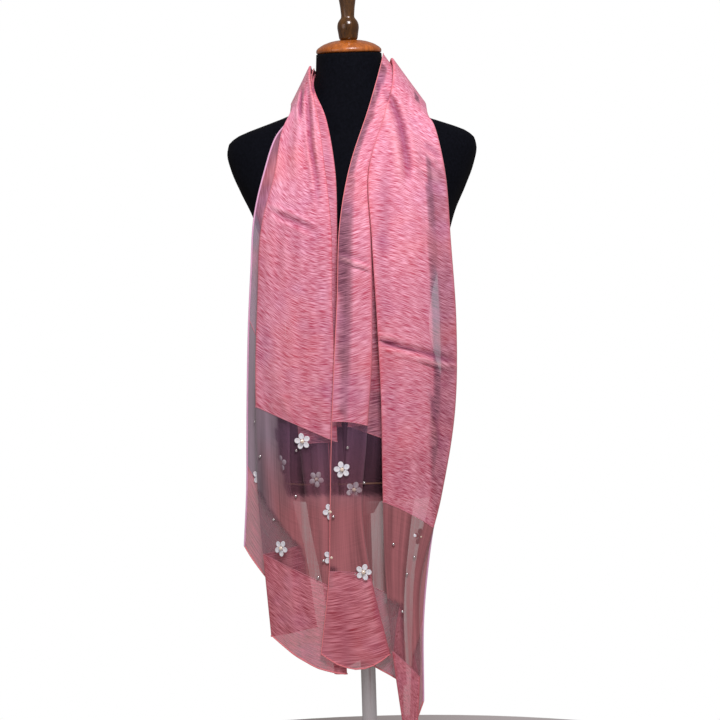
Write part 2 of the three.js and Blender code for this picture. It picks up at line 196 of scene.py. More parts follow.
# %% Shader helpers
class Nodes:
    """Adds nodes to a tree. A socket's value may be a number, a colour or another node's output."""

    def __init__(self, tree):
        self.tree = tree

    def add(self, kind, settings=None, **values):
        node = self.tree.nodes.new(kind)
        for key, value in (settings or {}).items():
            setattr(node, key, value)
        for key, value in values.items():
            self.fill(self.socket(node, key), value)
        return node

    @staticmethod
    def socket(node, key):
        if key.startswith("in") and key[2:].isdigit():
            return node.inputs[int(key[2:])]
        return node.inputs[key.replace("_", " ")]

    def fill(self, socket, value):
        if isinstance(value, bpy.types.NodeSocket):
            self.tree.links.new(value, socket)
        else:
            socket.default_value = value

    def math(self, operation, a, b=0.0, clamp=False):
        settings = {"operation": operation, "use_clamp": clamp}
        return self.add("ShaderNodeMath", settings, in0=a, in1=b).outputs[0]

    def noise(self, vector, scale, detail=2.0, roughness=0.5, flat=False):
        settings = {"noise_dimensions": "2D" if flat else "3D"}
        values = {"Vector": vector, "Scale": scale, "Detail": detail, "Roughness": roughness}
        return self.add("ShaderNodeTexNoise", settings, **values).outputs["Fac"]

    def stretch(self, vector, scale):
        return self.add("ShaderNodeMapping", Vector=vector, Scale=scale).outputs[0]

    def spread(self, value, low, high, to_low=0.0, to_high=1.0):
        node = self.add("ShaderNodeMapRange", in0=value, in1=low, in2=high, in3=to_low, in4=to_high)
        return node.outputs[0]

    def attribute(self, name):
        return self.add("ShaderNodeAttribute", {"attribute_name": name}).outputs["Fac"]

    def place(self):
        return self.add("ShaderNodeTexCoord").outputs["Object"]

    def weigh(self, *pairs):
        """Adds up outputs, each times its weight."""
        total, *others = [self.math("MULTIPLY", value, weight) for value, weight in pairs]
        for other in others:
            total = self.math("ADD", total, other)
        return total

    def mix(self, share, a, b, blend="MIX"):
        node = self.add("ShaderNodeMix", {"data_type": "RGBA", "blend_type": blend}, in0=share)
        self.fill(node.inputs[6], a)
        self.fill(node.inputs[7], b)
        return node.outputs[2]


# %% [markdown]
# ## Light and floor
# A product picture of cloth needs soft light with one clear direction: a key light from above, a
# little to the right, draws the folds, a weaker one fills the left, and the white surroundings do
# the rest.

# %% Light and floor
scene = bpy.context.scene
AMBIENT = 0.27
scene.view_settings.view_transform = "Standard"

world = bpy.data.worlds.new("studio")
world.use_nodes = True
scene.world = world
sky = Nodes(world.node_tree)
plain = world.node_tree.nodes["Background"]
plain.inputs["Color"].default_value = (1.0, 0.86, 0.83, 1)
plain.inputs["Strength"].default_value = AMBIENT
seen = sky.add("ShaderNodeBackground", Color=(1, 1, 1, 1), Strength=1.0)
straight = sky.add("ShaderNodeLightPath").outputs["Is Camera Ray"]
either = sky.add("ShaderNodeMixShader", in0=straight)
world.node_tree.links.new(plain.outputs[0], either.inputs[1])
world.node_tree.links.new(seen.outputs[0], either.inputs[2])
world.node_tree.links.new(either.outputs[0], world.node_tree.nodes["World Output"].inputs["Surface"])


def area_light(name, place, target, size, power, colour):
    data = bpy.data.lights.new(name, "AREA")
    data.color = colour
    data.size = size
    data.energy = power
    light = bpy.data.objects.new(name, data)
    light.location = place
    light.rotation_euler = (Vector(target) - Vector(place)).to_track_quat("-Z", "Y").to_euler()
    scene.collection.objects.link(light)


area_light("key_light", (0.25, -1.2, 2.05), (0.03, 0, 1.0), 0.5, 26.5, (1.0, 0.93, 0.97))
area_light("fill_light", (-1.7, -1.5, 1.4), (0, 0, 0.85), 1.2, 6.5, (1.0, 0.92, 0.97))


def new_mesh_object(name, points, faces, smooth=True):
    """A mesh from points in millimetres."""
    mesh = bpy.data.meshes.new(name)
    mesh.from_pydata([tuple(p) for p in np.asarray(points, float) * MM], [], faces)
    mesh.validate()
    if smooth:
        mesh.shade_smooth()
    obj = bpy.data.objects.new(name, mesh)
    scene.collection.objects.link(obj)
    return obj


FLOOR_RADIUS = 950
turns = np.linspace(0, 2 * math.pi, 96, endpoint=False)
floor = new_mesh_object(
    "floor",
    [(FLOOR_RADIUS * math.cos(t), FLOOR_RADIUS * math.sin(t), -0.2) for t in turns],
    [list(range(96))],
    smooth=False,
)
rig.stage(floor)


def shader_group(name, inputs, outputs):
    """An empty node group with named sockets. Returns it with its input and output nodes."""
    tree = bpy.data.node_groups.new(name, "ShaderNodeTree")
    for label, kind, value in inputs:
        socket = tree.interface.new_socket(name=label, in_out="INPUT", socket_type=kind)
        if value is not None:
            socket.default_value = value
    for label, kind in outputs:
        tree.interface.new_socket(name=label, in_out="OUTPUT", socket_type=kind)
    return tree, tree.nodes.new("NodeGroupInput"), tree.nodes.new("NodeGroupOutput")


COLOUR, NUMBER, VECTOR = "NodeSocketColor", "NodeSocketFloat", "NodeSocketVector"

# %% [markdown]
# ### Slub weave
# Slub yarn is spun thick and thin, so the crepe shows short wavering streaks that run across its
# width. The cloth's UV map is in metres, across and along, and a noise that is stretched across
# the width gives those streaks. The group puts out a colour, a height for the bump, and how
# closely the yarn covers, because the cloth is thinner between the slubs.


# %% Slub weave group
def build_slub_weave():
    tree, given, result = shader_group(
        "slub_weave",
        [
            ("UV", VECTOR, None),
            ("Pale yarn", COLOUR, (0.95, 0.3, 0.4, 1)),
            ("Deep yarn", COLOUR, (0.5, 0.06, 0.12, 1)),
            ("Streak length", NUMBER, 0.0105),
            ("Streak height", NUMBER, 0.00105),
        ],
        [("Color", COLOUR), ("Height", NUMBER), ("Cover", NUMBER)],
    )
    nodes = Nodes(tree)
    uv = given.outputs["UV"]
    parts = nodes.add("ShaderNodeSeparateXYZ", Vector=uv)
    sway = nodes.math("MULTIPLY", nodes.noise(uv, 12.0, 2.0, flat=True), 0.014)
    u = nodes.math("DIVIDE", parts.outputs[0], given.outputs["Streak length"])
    v = nodes.math("DIVIDE", nodes.math("ADD", parts.outputs[1], sway), given.outputs["Streak height"])
    yarn = nodes.add("ShaderNodeCombineXYZ", X=u, Y=v).outputs[0]
    fine_streaks = nodes.spread(nodes.noise(yarn, 1.0, 1.5, 0.5, flat=True), 0.3, 0.7)
    thick_yarn = nodes.stretch(yarn, (0.8, 0.45, 1.0))
    bold_streaks = nodes.spread(nodes.noise(thick_yarn, 1.0, 2.0, 0.5, flat=True), 0.35, 0.65)
    clouds = nodes.spread(nodes.noise(uv, 16.0, 3.0, flat=True), 0.3, 0.7)
    blend = nodes.weigh((fine_streaks, 0.82), (bold_streaks, 0.22), (clouds, 0.16))
    blend = nodes.math("SUBTRACT", blend, 0.1, clamp=True)
    colour = nodes.mix(blend, given.outputs["Deep yarn"], given.outputs["Pale yarn"])
    nodes.fill(result.inputs["Color"], colour)
    nodes.fill(result.inputs["Height"], blend)
    nodes.fill(result.inputs["Cover"], nodes.spread(blend, 0.2, 0.9))
    return tree


SLUB_WEAVE = build_slub_weave()

# %% [markdown]
# ### Organza threads
# Organza is an even, open net of fine stiff threads. A single thread is too fine to draw, so the
# group gives what the eye sees: faint stripes along the warp and a slow change in how much the
# threads cover.


# %% Organza group
def build_organza_threads():
    tree, given, result = shader_group(
        "organza_threads",
        [
            ("UV", VECTOR, None),
            ("Cover", NUMBER, 0.4),
            ("Pale thread", COLOUR, (0.4, 0.25, 0.34, 1)),
            ("Dark thread", COLOUR, (0.1, 0.05, 0.09, 1)),
        ],
        [("Color", COLOUR), ("Alpha", NUMBER), ("Height", NUMBER)],
    )
    nodes = Nodes(tree)
    uv = given.outputs["UV"]
    warp = nodes.noise(nodes.stretch(uv, (900.0, 12.0, 1.0)), 1.0, 2.0, flat=True)
    bands = nodes.noise(nodes.stretch(uv, (70.0, 3.0, 1.0)), 1.0, 2.0, flat=True)
    weft = nodes.noise(nodes.stretch(uv, (10.0, 900.0, 1.0)), 1.0, 1.0, flat=True)
    threads = nodes.weigh((warp, 0.28), (weft, 0.17), (bands, 0.75))
    tone = nodes.spread(threads, 0.4, 0.8)
    colour = nodes.mix(tone, given.outputs["Dark thread"], given.outputs["Pale thread"])
    nodes.fill(result.inputs["Color"], colour)
    vary = nodes.spread(threads, 0.4, 0.8, -0.1, 0.1)
    nodes.fill(result.inputs["Alpha"], nodes.math("ADD", given.outputs["Cover"], vary, clamp=True))
    nodes.fill(result.inputs["Height"], threads)
    return tree


ORGANZA_THREADS = build_organza_threads()

# %% [markdown]
# ### Wood grain
# Turned wood shows the annual rings as long bands, broken by fine pores. Object coordinates tie
# the grain to the piece, with the long axis upright, and a second noise gives the pores.


# %% Wood group
def build_wood_grain():
    tree, given, result = shader_group(
        "wood_grain",
        [
            ("Position", VECTOR, None),
            ("Light wood", COLOUR, (0.5, 0.2, 0.06, 1)),
            ("Dark wood", COLOUR, (0.16, 0.05, 0.015, 1)),
            ("Grain scale", NUMBER, 60.0),
            ("Wear", NUMBER, 0.2),
        ],
        [("Color", COLOUR), ("Roughness", NUMBER), ("Height", NUMBER)],
    )
    nodes = Nodes(tree)
    long_grain = nodes.stretch(given.outputs["Position"], (1.0, 1.0, 0.12))
    rings = nodes.noise(long_grain, given.outputs["Grain scale"], 4.0, 0.6)
    rings = nodes.math("FRACT", nodes.math("MULTIPLY", rings, 5.0))
    rings = nodes.math("ABSOLUTE", nodes.math("SUBTRACT", rings, 0.5))
    pores = nodes.noise(nodes.stretch(given.outputs["Position"], (1.0, 1.0, 0.05)), 900.0, 2.0)
    pores = nodes.spread(pores, 0.35, 0.55)
    tone = nodes.math("ADD", nodes.math("MULTIPLY", rings, 1.1), nodes.math("MULTIPLY", pores, 0.4), clamp=True)
    colour = nodes.mix(tone, given.outputs["Dark wood"], given.outputs["Light wood"])
    handled = nodes.spread(nodes.noise(given.outputs["Position"], 25.0, 3.0), 0.4, 0.7)
    worn = nodes.math("MULTIPLY", handled, given.outputs["Wear"])
    nodes.fill(result.inputs["Color"], nodes.mix(worn, colour, (0.7, 0.4, 0.2, 1)))
    nodes.fill(result.inputs["Roughness"], nodes.spread(handled, 0.0, 1.0, 0.22, 0.42))
    nodes.fill(result.inputs["Height"], nodes.math("MULTIPLY", pores, tone))
    return tree


WOOD_GRAIN = build_wood_grain()

# %% [markdown]
# ## How the scarf is folded
# Cloth on a form could be simulated, which gives folds that gravity made but leaves their places
# to chance. Here the places matter most, so the folds are set by tables and nothing is simulated:
# each long thread of the cloth is a smooth curve through a table of places, from the left hem up and
# round the neck to the right hem. Across its width the scarf is folded into seven panels between
# eight edges. The panels lie in five layers, 4 mm apart. Two pairs of panels share a layer and lie
# side by side in it, and near the right hem one such pair comes so close that it nearly touches.
# Sizes are in mm.

# %% Table of the folds
PANEL_LAYERS = [2, 1, 0, 3, 4, 3, 2]  # inner selvedge to outer selvedge, layers count outwards
LAYER = 4.0
FOLD_BULGE = 2.4
WIDE_FOLD_BULGE = 5.0
TAIL_TOP = 1040
TAIL_LEVELS = [1040, 950, 790, 690, 550, 430, 300, 190]
# Distance of each edge from the middle plane at those heights, then the height of its hem.
LEFT_TAIL = [
    ([60, 48, 48, 48, 44, 34, 18, 18], 345),
    ([74, 72, 75, 75, 68, 48, 30, 30], 340),
    ([25, 24, 28, 28, 24, 14, 0, 0], 322),
    ([88, 92, 95, 92, 84, 61, 48, 48], 300),
    ([41, 32, 35, 33, 34, 34, 30, 30], 300),
    ([107, 134, 147, 151, 151, 144, 134, 130], 352),
    ([98, 104, 104, 101, 102, 75, 66, 66], 367),
    ([124, 146, 158, 163, 168, 178, 178, 178], 480),
]
RIGHT_TAIL = [
    ([0, -20, -30, -39, -46, -52, -70, -74], 330),
    ([24, 24, 22, 16, -3, 10, 38, 44], 326),
    ([6, 0, -6, -14, -28, -24, -10, -8], 322),
    ([99, 97, 101, 98, 74, 54, 54, 54], 284),
    ([23, 23, 28, 30, 28, 28, 37, 51], 214),
    ([133, 137, 142, 140, 113, 79, 74, 64], 178),
    ([112, 115, 118, 116, 98, 66, 62, 54], 212),
    ([128, 132, 137, 134, 111, 82, 79, 74], 258),
]
LEFT_SAG = [0, 0, 0, 0, 12, 0, 6]
RIGHT_SAG = [20, 0, 0, 0, 14, 0, 0]
LEFT_DEPTH = [86, 110, 116, 116, 115, 114, 113, 112]
RIGHT_DEPTH = [92, 118, 129, 129, 128, 127, 126, 125]
TAIL_CURL = 0.0017
TAIL_SHARES = [0.03, 0.15, 0.29, 0.43, 0.57, 0.71, 0.85, 1]
# Round the neck: an inner point, an outer point and the direction in which the layers stack.
NECK_SECTIONS = [
    ([-34, -66, 1100], [-104, -54, 1072], [-0.15, -0.8, 0.58]),
    ([-44, -44, 1148], [-86, -50, 1096], [-0.4, -0.7, 0.6]),
    ([-42, -2, 1188], [-80, 6, 1116], [-0.88, 0.05, 0.47]),
    ([-38, 42, 1194], [-82, 68, 1098], [-0.55, 0.6, 0.5]),
    ([0, 57, 1198], [0, 82, 1080], [0, 0.9, 0.42]),
    ([38, 43, 1203], [92, 70, 1092], [0.55, 0.6, 0.5]),
    ([40, 2, 1207], [104, 8, 1112], [0.83, 0.05, 0.56]),
    ([38, -42, 1164], [106, -46, 1092], [0.42, -0.7, 0.5]),
    ([22, -68, 1106], [116, -57, 1076], [0.1, -0.8, 0.55]),
]
NECK_EDGES = [
    [22, 16, 10, 12, 12, 10, 9, 2, 2],
    [42, 38, 34, 46, 54, 52, 40, 34, 30],
    [2, 10, 21, 8, 6, 10, 22, 14, 12],
    [50, 46, 52, 66, 82, 84, 74, 70, 74],
    [10, 8, 8, 12, 14, 18, 22, 26, 26],
    [68, 60, 74, 96, 116, 120, 106, 101, 101],
    [57, 52, 59, 76, 92, 94, 84, 82, 84],
    [80, 70, 80, 104, 118, 114, 100, 95, 96],
]
PANEL_STEPS, FOLD_STEPS = [8, 8, 10, 18, 32, 12, 10], 6


# %% Columns across the width
def fold_of(edge):
    """Middle depth, half depth and bulge of the fold at an edge."""
    before, after = PANEL_LAYERS[edge - 1] * LAYER, PANEL_LAYERS[edge] * LAYER
    half = (after - before) / 2
    return (before + after) / 2, half, WIDE_FOLD_BULGE if abs(half) > LAYER else FOLD_BULGE


def columns_across():
    """Rows of (panel, share across it, pull back from its edge, depth, turn), selvedge to selvedge."""
    columns = []
    for panel, layer in enumerate(PANEL_LAYERS):
        heading = 1 if panel % 2 == 0 else -1
        before = 0 if panel == 0 else fold_of(panel)[2]
        after = 0 if panel == 6 else fold_of(panel + 1)[2]
        for share in np.linspace(0, 1, PANEL_STEPS[panel] + 1):
            pull = heading * (before + (-after - before) * share)
            columns.append((panel, share, pull, layer * LAYER, 0.0))
        if panel < 6:
            middle, half, bulge = fold_of(panel + 1)
            for k in range(1, FOLD_STEPS):
                turn = math.pi * (k / FOLD_STEPS - 0.5)
                pull = heading * bulge * (math.cos(turn) - 1)
                columns.append((panel, 1.0, pull, middle + half * math.sin(turn), math.cos(turn)))
    return np.array(columns)


COLUMNS = columns_across()
print("columns across the cloth:", len(COLUMNS))


# %% One thread for each column
def at_height(row, z):
    return np.interp(-z, [-level for level in TAIL_LEVELS], row)


def tail_points(column, tail, sag, depths, side):
    panel, share, pull, depth = int(column[0]), *column[1:4]
    (out_a, hem_a), (out_b, hem_b) = tail[panel], tail[panel + 1]
    hem = hem_a + (hem_b - hem_a) * share - sag[panel] * math.sin(math.pi * share)
    points = []
    for down in TAIL_SHARES:
        z = TAIL_TOP + (hem - TAIL_TOP) * down
        a, b = at_height(out_a, z), at_height(out_b, z)
        across = a + (b - a) * share + pull
        y = -at_height(depths, z) - depth + TAIL_CURL * across * across
        points.append((side * across, y, z))
    return points


def neck_points(column):
    panel, share, pull, depth = int(column[0]), *column[1:4]
    points = []
    for k, (inner, outer, away) in enumerate(NECK_SECTIONS):
        inner, across = Vector(inner), (Vector(outer) - Vector(inner)).normalized()
        away = Vector(away)
        away = (away - across * away.dot(across)).normalized()
        a, b = NECK_EDGES[panel][k], NECK_EDGES[panel + 1][k]
        points.append(tuple(inner + across * (a + (b - a) * share + pull) + away * depth))
    return points


def stations_of(column):
    left = tail_points(column, LEFT_TAIL, LEFT_SAG, LEFT_DEPTH, -1)[::-1]
    right = tail_points(column, RIGHT_TAIL, RIGHT_SAG, RIGHT_DEPTH, 1)
    return left + neck_points(column) + right


def walk(stations, t):
    """Points at t from 0 to 1 on the smooth curves through the stations, all columns at once."""
    first = 2 * stations[:, :1] - stations[:, 1:2]
    last = 2 * stations[:, -1:] - stations[:, -2:-1]
    s = np.concatenate([first, stations, last], axis=1)
    count = stations.shape[1] - 1
    place = np.clip(t, 0, 1) * count
    k = np.minimum(place.astype(int), count - 1)
    w = (place - k)[..., None]
    take = lambda shift: np.take_along_axis(s, (k + shift)[..., None], axis=1)
    p0, p1, p2, p3 = take(0), take(1), take(2), take(3)
    gap = lambda a, b: np.sqrt(np.linalg.norm(b - a, axis=2, keepdims=True))
    d0, d1, d2 = gap(p0, p1), gap(p1, p2), gap(p2, p3)
    m1 = ((p1 - p0) / d0 - (p2 - p0) / (d0 + d1) + (p2 - p1) / d1) * d1
    m2 = ((p2 - p1) / d1 - (p3 - p1) / (d1 + d2) + (p3 - p2) / d2) * d1
    c2, c3 = -3 * p1 + 3 * p2 - 2 * m1 - m2, 2 * p1 - 2 * p2 + m1 + m2
    return p1 + m1 * w + c2 * w * w + c3 * w**3


class Threads:
    """A bundle of threads that can be cut at distances along the cloth."""

    def __init__(self, columns):
        self.stations = np.array([stations_of(column) for column in columns], float)
        self.t = np.linspace(0, 1, 961)
        fine = walk(self.stations, np.tile(self.t, (len(columns), 1)))
        steps = np.linalg.norm(np.diff(fine, axis=1), axis=2)
        self.reach = np.concatenate([np.zeros((len(columns), 1)), np.cumsum(steps, axis=1)], axis=1)
        self.length = self.reach[:, -1]

    def rows(self, cut_a, cut_b, count):
        """Points and distances from cut_a to cut_b, which give a distance for each thread."""
        n = len(self.length)
        a = [np.interp(cut_a[k], self.reach[k], self.t) for k in range(n)]
        b = [np.interp(cut_b[k], self.reach[k], self.t) for k in range(n)]
        t = np.linspace(a, b, count, axis=1)
        reach = np.array([np.interp(t[k], self.t, self.reach[k]) for k in range(n)])
        return walk(self.stations, t), reach


threads = Threads(COLUMNS)
print("thread length, mm:", threads.length.min().round(), "to", threads.length.max().round())

# %% [markdown]
# ## How the cloth falls
# Soft cloth is never flat: the weight of the hems pulls long shallow flutes into it, and each place
# where it was folded or pinched keeps a crease. All layers are pushed forwards by the same amount
# at the same place, so they keep their order and their clearance.


# %% Flutes and creases
def smooth(value, low, high):
    t = np.clip((value - low) / (high - low), 0, 1)
    return t * t * (3 - 2 * t)


def along_path(x, z, path):
    """Share of the way along a path of (x, z) and signed distance to its side, at each point."""
    path = np.array(path, float)
    runs = np.diff(path, axis=0)
    lengths = np.linalg.norm(runs, axis=1)
    starts = np.concatenate([[0], np.cumsum(lengths)])
    best = np.full(x.shape, np.inf)
    share, side = np.zeros(x.shape), np.full(x.shape, 1e3)
    for k, (run, length) in enumerate(zip(runs, lengths)):
        dx, dz = x - path[k, 0], z - path[k, 1]
        t = (dx * run[0] + dz * run[1]) / length**2
        ends = np.clip(t, -1e9 if k == 0 else 0, 1e9 if k == len(runs) - 1 else 1)
        gap = np.hypot(dx - ends * run[0], dz - ends * run[1])
        closer = gap < best
        best = np.where(closer, gap, best)
        share = np.where(closer, (starts[k] + t * length) / starts[-1], share)
        side = np.where(closer, (dx * run[1] - dz * run[0]) / length, side)
    return share, side


# Each crease: its path (x, z) in mm from top to bottom or left to right, half width, how far it is pushed forwards (a
# valley is pushed back), and how much painted shade it gets, below zero a painted highlight.
CREASES = [
    ([(45, 1150), (61, 1121), (71, 1088), (75, 1060), (79, 1020), (80, 980)], 5.5, -7, 0.75),
    ([(57, 1150), (72, 1118), (84, 1080), (89, 1040), (92, 990)], 7, 5, -0.35),
    ([(36, 1150), (46, 1110), (58, 1070), (63, 1030), (64, 980)], 7, 3.5, -0.3),
    ([(43, 1152), (41, 1120)], 2.6, -3, 0.7),
    ([(104, 1056), (118, 1044), (132, 1030)], 5, -3.5, 0.55),
    ([(94, 1022), (112, 1010), (128, 997)], 5, 3, -0.25),
    ([(45, 1027), (46, 956), (39, 880)], 8, -2, 0.3),
    ([(-70, 1152), (-73, 1120), (-74, 1092)], 2.6, -6, 1.0),
    ([(-57, 1172), (-54, 1150), (-54, 1132)], 2.4, -4, 0.9),
    ([(-63, 1150), (-61, 1100), (-60, 1062), (-52, 1004), (-50, 950)], 3.2, -5, 0.6),
    ([(-56, 1150), (-54, 1100), (-52, 1060), (-46, 1010)], 3.5, 4, -0.4),
    ([(-72, 1120), (-80, 1060), (-84, 1000)], 7, 3.5, -0.25),
    ([(-99, 1003), (-107, 918), (-114, 834)], 8, -2, 0.25),
    ([(-76, 960), (-80, 880), (-84, 800)], 8, 1.8, -0.15),
    ([(-128, 975), (-90, 957), (-48, 936)], 3, 3, -0.4),
    ([(-122, 962), (-88, 946), (-52, 926)], 4.5, -2.5, 0.4),
    ([(-27, 893), (-1, 882), (28, 871)], 2.6, 4, -0.5),
    ([(-27, 900), (-1, 889), (24, 880)], 4, -3, 0.4),
    ([(20, 782), (60, 768), (92, 760)], 2.4, 4, -0.55),
    ([(78, 748), (112, 737), (152, 727)], 2.6, 4, -0.5),
    ([(20, 774), (88, 753), (152, 733)], 4.5, -5.5, 0.85),
    ([(98, 700), (110, 640), (114, 600)], 3, -2, 0.35),
    ([(60, 700), (58, 640), (64, 580)], 8, 2, -0.15),
    ([(-70, 780), (-76, 700), (-84, 620)], 9, 2, -0.15),
    ([(-110, 700), (-100, 660)], 5, 2, -0.3),
    ([(4, 760), (6, 690), (2, 640)], 6, 1.5, -0.12),
    ([(-88, 620), (-96, 520), (-100, 400)], 5, -3, 0.3),
    ([(-60, 600), (-58, 500), (-62, 400)], 5, 2.5, -0.2),
    ([(-22, 600), (-18, 500), (-20, 380)], 4.5, -3, 0.3),
    ([(8, 520), (12, 440), (20, 340)], 6, -3.5, 0.35),
    ([(44, 500), (52, 400), (56, 320)], 5, -3, 0.3),
]


def fall(points):
    """How far the cloth is pushed forwards at each point, mm, and the painted shade of its flutes and creases, below
    zero a painted highlight.
    """
    x, y, z = points[..., 0], points[..., 1], points[..., 2]
    front = 1 - smooth(y, -45, -5)
    low = 1 - smooth(z, 400, 1000)
    high = 1 - smooth(z, 1040, 1120)
    sway = 9 * np.sin(z / 140) + 5 * np.sin(z / 61 + 1.3)
    flutes = 0.5 + 0.5 * np.sin((x + sway) / 9.5 + 0.6)
    flutes += 0.5 + 0.5 * np.sin((x - 0.7 * sway) / 15.5 + 2.1)
    flutes += 0.35 * np.sin((x + 0.4 * sway) / 4.8 + z / 90)
    push = high * (0.8 + 2.2 * low) * np.maximum(flutes, 0)
    # Painted shade in the hollows of the flutes and painted highlight on their crests.
    tone = high * 0.12 * (1 - flutes)
    for path, width, height, dark in CREASES:
        share, side = along_path(x, z, path)
        window = front * smooth(share, -0.02, 0.25) * (1 - smooth(share, 0.7, 1.02))
        middle_line = np.exp(-((side / width) ** 2))
        lip = np.exp(-(((side - 1.7 * width) / width) ** 2))
        push = push + window * height * (middle_line - 0.4 * lip)
        # Painted shade along the crease, with a faint painted highlight on its lip.
        tone = tone + window * dark * (middle_line - 0.45 * lip)
    return push, tone


def hang(points):
    points = points.copy()
    points[..., 1] -= fall(points)[0]
    return points


# %% [markdown]
# ## The sewn pieces of cloth
# The maker sews five pieces end to end: a short crepe band, a sheer one, the long middle, a sheer
# one and a short crepe band. Each becomes a grid of points with a UV map in metres, across and
# along, so that the weave has its true size and follows the cloth through every fold.

# %% Cloth grids
SHEER_BAND, END_BAND, SEAM = 212.0, 118.0, 0.3
round_neck_points, _ = threads.rows(0.3 * threads.length, 0.7 * threads.length, 40)
cloth_width = np.linalg.norm(np.diff(round_neck_points, axis=0), axis=2)
across_mm = np.concatenate([[0], np.cumsum(cloth_width.mean(axis=1))])
turned = across_mm[COLUMNS[:, 4] > 0.9]
near_fold = np.exp(-((np.abs(across_mm[:, None] - turned).min(axis=1) / 3.5) ** 2))
print("cloth width, mm:", across_mm[-1].round(1))


def slant(reach):
    """How much the weft leans across the warp: not at the left end, and 7% from there on."""
    share = reach / threads.length.mean()
    return 0.07 * smooth(share, 0.18, 0.3)


def put_attribute(obj, name, values):
    attribute = obj.data.attributes.new(name, "FLOAT", "POINT")
    attribute.data.foreach_set("value", np.asarray(values, np.float32).ravel())


def cloth_grid(name, cut_a, cut_b, step):
    """A sheet between two cuts. Its UV map is (across, along) in metres."""
    count = int(np.median(np.abs(cut_b - cut_a)) / step) + 1
    points, reach = threads.rows(cut_a, cut_b, count)
    tone = fall(points)[1]
    points = hang(points)
    n, m = points.shape[:2]
    faces = [
        (i * m + j, (i + 1) * m + j, (i + 1) * m + j + 1, i * m + j + 1)
        for i in range(n - 1)
        for j in range(m - 1)
    ]
    obj = new_mesh_object(name, points.reshape(-1, 3), faces)
    over = np.repeat(across_mm[:, None], m, axis=1)
    uv = np.stack([over, reach - over * slant(reach)], axis=2).reshape(-1, 2) * MM
    layer = obj.data.uv_layers.new(name="UVMap")
    corner = np.empty(len(obj.data.loops), dtype=np.int32)
    obj.data.loops.foreach_get("vertex_index", corner)
    layer.uv.foreach_set("vector", uv[corner].ravel())
    # The painted shade and highlight of the flutes and creases, for the crepe's colour.
    put_attribute(obj, "crease", np.clip(tone, -1, 1))
    put_attribute(obj, "fold", np.repeat(near_fold[:, None], m, axis=1))
    area = sum(face.area for face in obj.data.polygons)
    print(f"{name}: {n} x {m} points, area {area:.4f} m2, length {(cut_b - cut_a).mean():.0f} mm")
    return obj, points


# The hems are cut a little round and the seams straight, so a seam's distance grows by the sag.
half_round = np.sin(math.pi * COLUMNS[:, 1])
left_hem_cut = np.zeros(len(COLUMNS))
right_hem_cut = threads.length
left_seam = END_BAND + half_round * np.array(LEFT_SAG)[COLUMNS[:, 0].astype(int)]
right_seam = threads.length - END_BAND - half_round * np.array(RIGHT_SAG)[COLUMNS[:, 0].astype(int)]
left_end, left_end_points = cloth_grid("left_end_crepe", left_hem_cut, left_seam - SEAM, 4)
left_sheer, left_sheer_points = cloth_grid("left_organza", left_seam + SEAM, left_seam + SHEER_BAND - SEAM, 4)
middle, middle_points = cloth_grid(
    "middle_crepe", left_seam + SHEER_BAND + SEAM, right_seam - SHEER_BAND - SEAM, 3.4
)
right_sheer, right_sheer_points = cloth_grid(
    "right_organza", right_seam - SHEER_BAND + SEAM, right_seam - SEAM, 4
)
right_end, right_end_points = cloth_grid("right_end_crepe", right_seam + SEAM, right_hem_cut, 4)

# %% [markdown]
# ## Finishes of the cloth
# Crepe is thin, so it looks darker and duller where one layer lies over black and bright where layers lie on each
# other. Transparency alone could do that, but the colours would be hard to steer. So each point of the mesh stores
# what lies near it, and the material mixes its yarn colours by that. The darker single-layer colours are painted shade
# and the bright double-layer colours are painted light. The greyish colours where the cloth hangs free are painted
# shade, as if a dim grey background showed through. The alpha stays near 0.9 and only thins the cloth a little between
# the slubs.


# %% Cloth materials
def new_material(name):
    material = bpy.data.materials.new(name)
    material.use_nodes = True
    nodes = Nodes(material.node_tree)
    return material, nodes, material.node_tree.nodes["Principled BSDF"]


def use_group(nodes, tree, **values):
    node = nodes.tree.nodes.new("ShaderNodeGroup")
    node.node_tree = tree
    for key, value in values.items():
        nodes.fill(node.inputs[key.replace("_", " ")], value)
    return node


def settle(bsdf, **values):
    """Numbers that are the same all over a surface, set on the shader's own sockets."""
    for key, value in values.items():
        bsdf.inputs[key.replace("_", " ")].default_value = value


def bump(nodes, bsdf, height, strength, distance):
    node = nodes.add("ShaderNodeBump", Height=height, Strength=strength, Distance=distance)
    nodes.fill(bsdf.inputs["Normal"], node.outputs[0])


